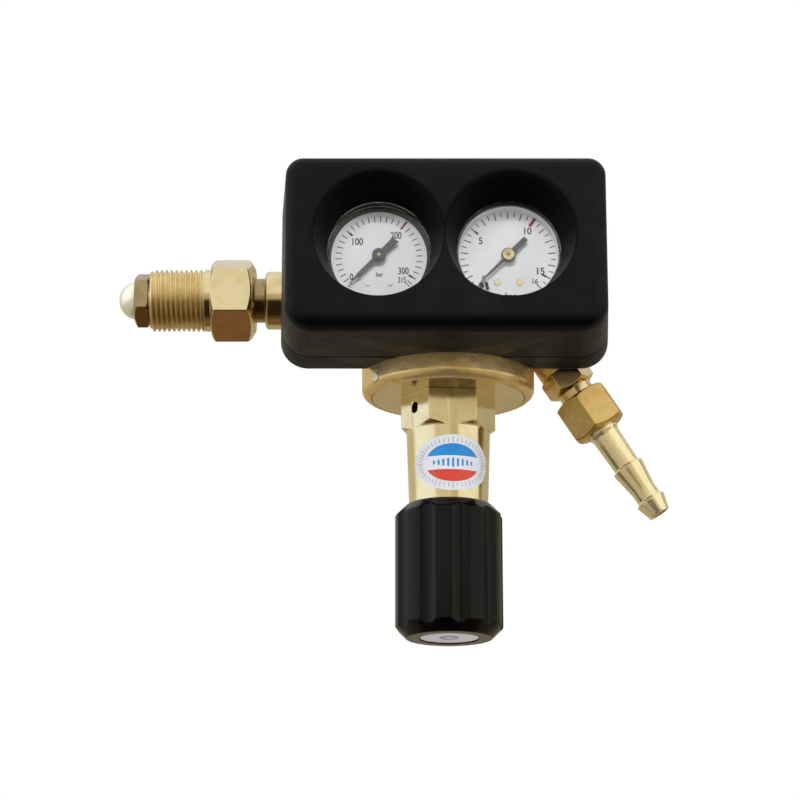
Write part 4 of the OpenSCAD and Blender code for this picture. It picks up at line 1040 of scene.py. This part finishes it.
label = {
    "width": 30.6,
    "height": 20.4,
    "middle": (5.4, -65.1),         # turn round the tube in degrees, height
    "lift": 0.06,
    "inkLift": 0.05,
    "slices": 36,                   # across, so that it can bend
    "margin": 0.55,
    "line": 0.16,
    "inner": (20.6, 13.9),
    "innerLift": 0.02,
    "band": 2.5,                    # half the height of the white band
    "ringMarks": 48,
    "ringInset": (2.65, 1.95),
    "ringMark": (1.5, 2.1, 0.3),    # length, length of each fourth, width
    "bandMarks": range(-4, 5),
    "bandMark": (1.75, 0.75, 3.4, 0.5),     # spacing, width, height, loss of height for each step
    "tube": [(-50.5, 15.2), (-77.9, 14.3)],     # height and radius near each end
    "bend": 14.8,
}


def addOval(bm, width, height, lift, lookIndex):
    made = bmesh.ops.create_circle(bm, cap_ends=True, segments=80, radius=0.5)["verts"]
    bmesh.ops.scale(bm, vec=(width * mm, height * mm, 1), verts=made)
    bmesh.ops.translate(bm, vec=(0, 0, lift * mm), verts=made)
    face = max(made[0].link_faces, key=lambda f: len(f.verts))
    face.material_index = lookIndex
    return face


def addStroke(bm, x, y, width, height, turn, lookIndex):
    made = bmesh.ops.create_grid(bm, x_segments=1, y_segments=1, size=0.5)["verts"]
    bmesh.ops.scale(bm, vec=(width * mm, height * mm, 1), verts=made)
    bmesh.ops.rotate(bm, cent=(0, 0, 0), matrix=Matrix.Rotation(turn, 3, "Z"), verts=made)
    bmesh.ops.translate(bm, vec=(x * mm, y * mm, label["inkLift"] * mm), verts=made)
    made[0].link_faces[0].material_index = lookIndex


# the inner oval, cut in to an upper field, a band and a lower field
def addFields(bm, band, upperLook, bandLook, lowerLook):
    faces = [addOval(bm, *label["inner"], label["innerLift"], bandLook)]
    for y in (band, -band):
        geom = set(faces)
        for face in faces:
            geom.update(face.edges)
            geom.update(face.verts)
        done = bmesh.ops.bisect_plane(bm, geom=list(geom), plane_co=(0, y * mm, 0), plane_no=(0, 1, 0))
        faces = [g for g in done["geom"] if isinstance(g, bmesh.types.BMFace)]
    for face in faces:
        y = face.calc_center_median().y / mm
        face.material_index = upperLook if y > band else lowerLook if y < -band else bandLook


def addRingMarks(bm, lookIndex):
    insetX, insetY = label["ringInset"]
    wide, tall = label["width"] / 2 - insetX, label["height"] / 2 - insetY
    plain, fourth, width = label["ringMark"]
    for i in range(label["ringMarks"]):
        a = math.radians(360 / label["ringMarks"] * i)
        way = math.atan2(math.sin(a) * wide, math.cos(a) * tall)
        length = plain if i % 4 else fourth
        addStroke(bm, wide * math.cos(a), tall * math.sin(a), length, width, way, lookIndex)


def wrapRoundTube(bm):
    for i in range(1, label["slices"]):
        x = (i / label["slices"] - 0.5) * label["width"] * mm
        every = bm.verts[:] + bm.edges[:] + bm.faces[:]
        bmesh.ops.bisect_plane(bm, geom=every, plane_co=(x, 0, 0), plane_no=(1, 0, 0))
    turn, height = label["middle"]
    (z1, r1), (z2, r2) = label["tube"]
    for v in bm.verts:
        z = v.co.y / mm + height
        r = r1 + (r2 - r1) * (z - z1) / (z2 - z1) + label["lift"] + v.co.z / mm
        a = math.radians(turn) + v.co.x / mm / label["bend"]
        v.co = Vector((bonnetX + r * math.sin(a), -r * math.cos(a), z)) * mm


# a plain oval label: a ring of grey strokes round a blue and a red field
def makeLabel():
    bm = bmesh.new()
    white, blue, red, grey = range(4)
    outer = addOval(bm, label["width"], label["height"], 0, white)
    bmesh.ops.inset_region(bm, faces=[outer], thickness=label["margin"] * mm)
    line = bmesh.ops.inset_region(bm, faces=[outer], thickness=label["line"] * mm)["faces"]
    for face in line:
        face.material_index = grey
    addFields(bm, label["band"], blue, white, red)
    addRingMarks(bm, grey)
    step, width, height, loss = label["bandMark"]
    for i in label["bandMarks"]:
        addStroke(bm, i * step, 0, width, height - loss * abs(i), 0, blue)
    wrapRoundTube(bm)
    finishPiece("tube_label", bm, ["labelWhite", "labelBlue", "labelRed", "labelGrey"], "regulator")


# CAD nodes that keep their shape and get a finish
plainNodes = {
    "springSteel": ["adjusting_screw", "knob_nut", "relief_poppet", "diaphragm_pad", "spring_pad",
                    "valve_pin", "high_gauge_link", "low_gauge_link"],
    "gaugeBrass": [side + part for side in ("high_gauge_", "low_gauge_")
                   for part in ("socket", "tube", "movement", "sector", "pinion")],
    "inletBrass": ["spring_carrier", "valve_seat", "valve_poppet", "diaphragm_slip_ring"],
    "sealPlastic": ["thrust_washer", "poppet_disc", "high_gauge_seal", "low_gauge_seal"],
    "redCopper": ["chamber_plug_seal"],
    "sinteredBronze": ["inlet_filter"],
    "diaphragmRubber": ["diaphragm"],
    "dialEnamel": ["high_gauge_dial", "low_gauge_dial", "high_gauge_dial_screws"],
}


def dressPlainNodes():
    for look, names in plainNodes.items():
        for name in names:
            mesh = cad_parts[name].data
            mesh.materials.clear()
            mesh.materials.append(looks[look])


bpy.context.scene.view_settings.view_transform = "Standard"
makeCamera()
makeWorld()
makeLights()
makeFloor()
print("studio ready")
dressPlainNodes()
makeSoftCopies()
makeSprings()
makeInletNut()
makeBoot()
print("body, nut and boot made")
for gaugeSide in ("high", "low"):
    makeDialPrint(gaugeSide)
    makePointer(gaugeSide)
makeLabel()
print("gauges and label made")
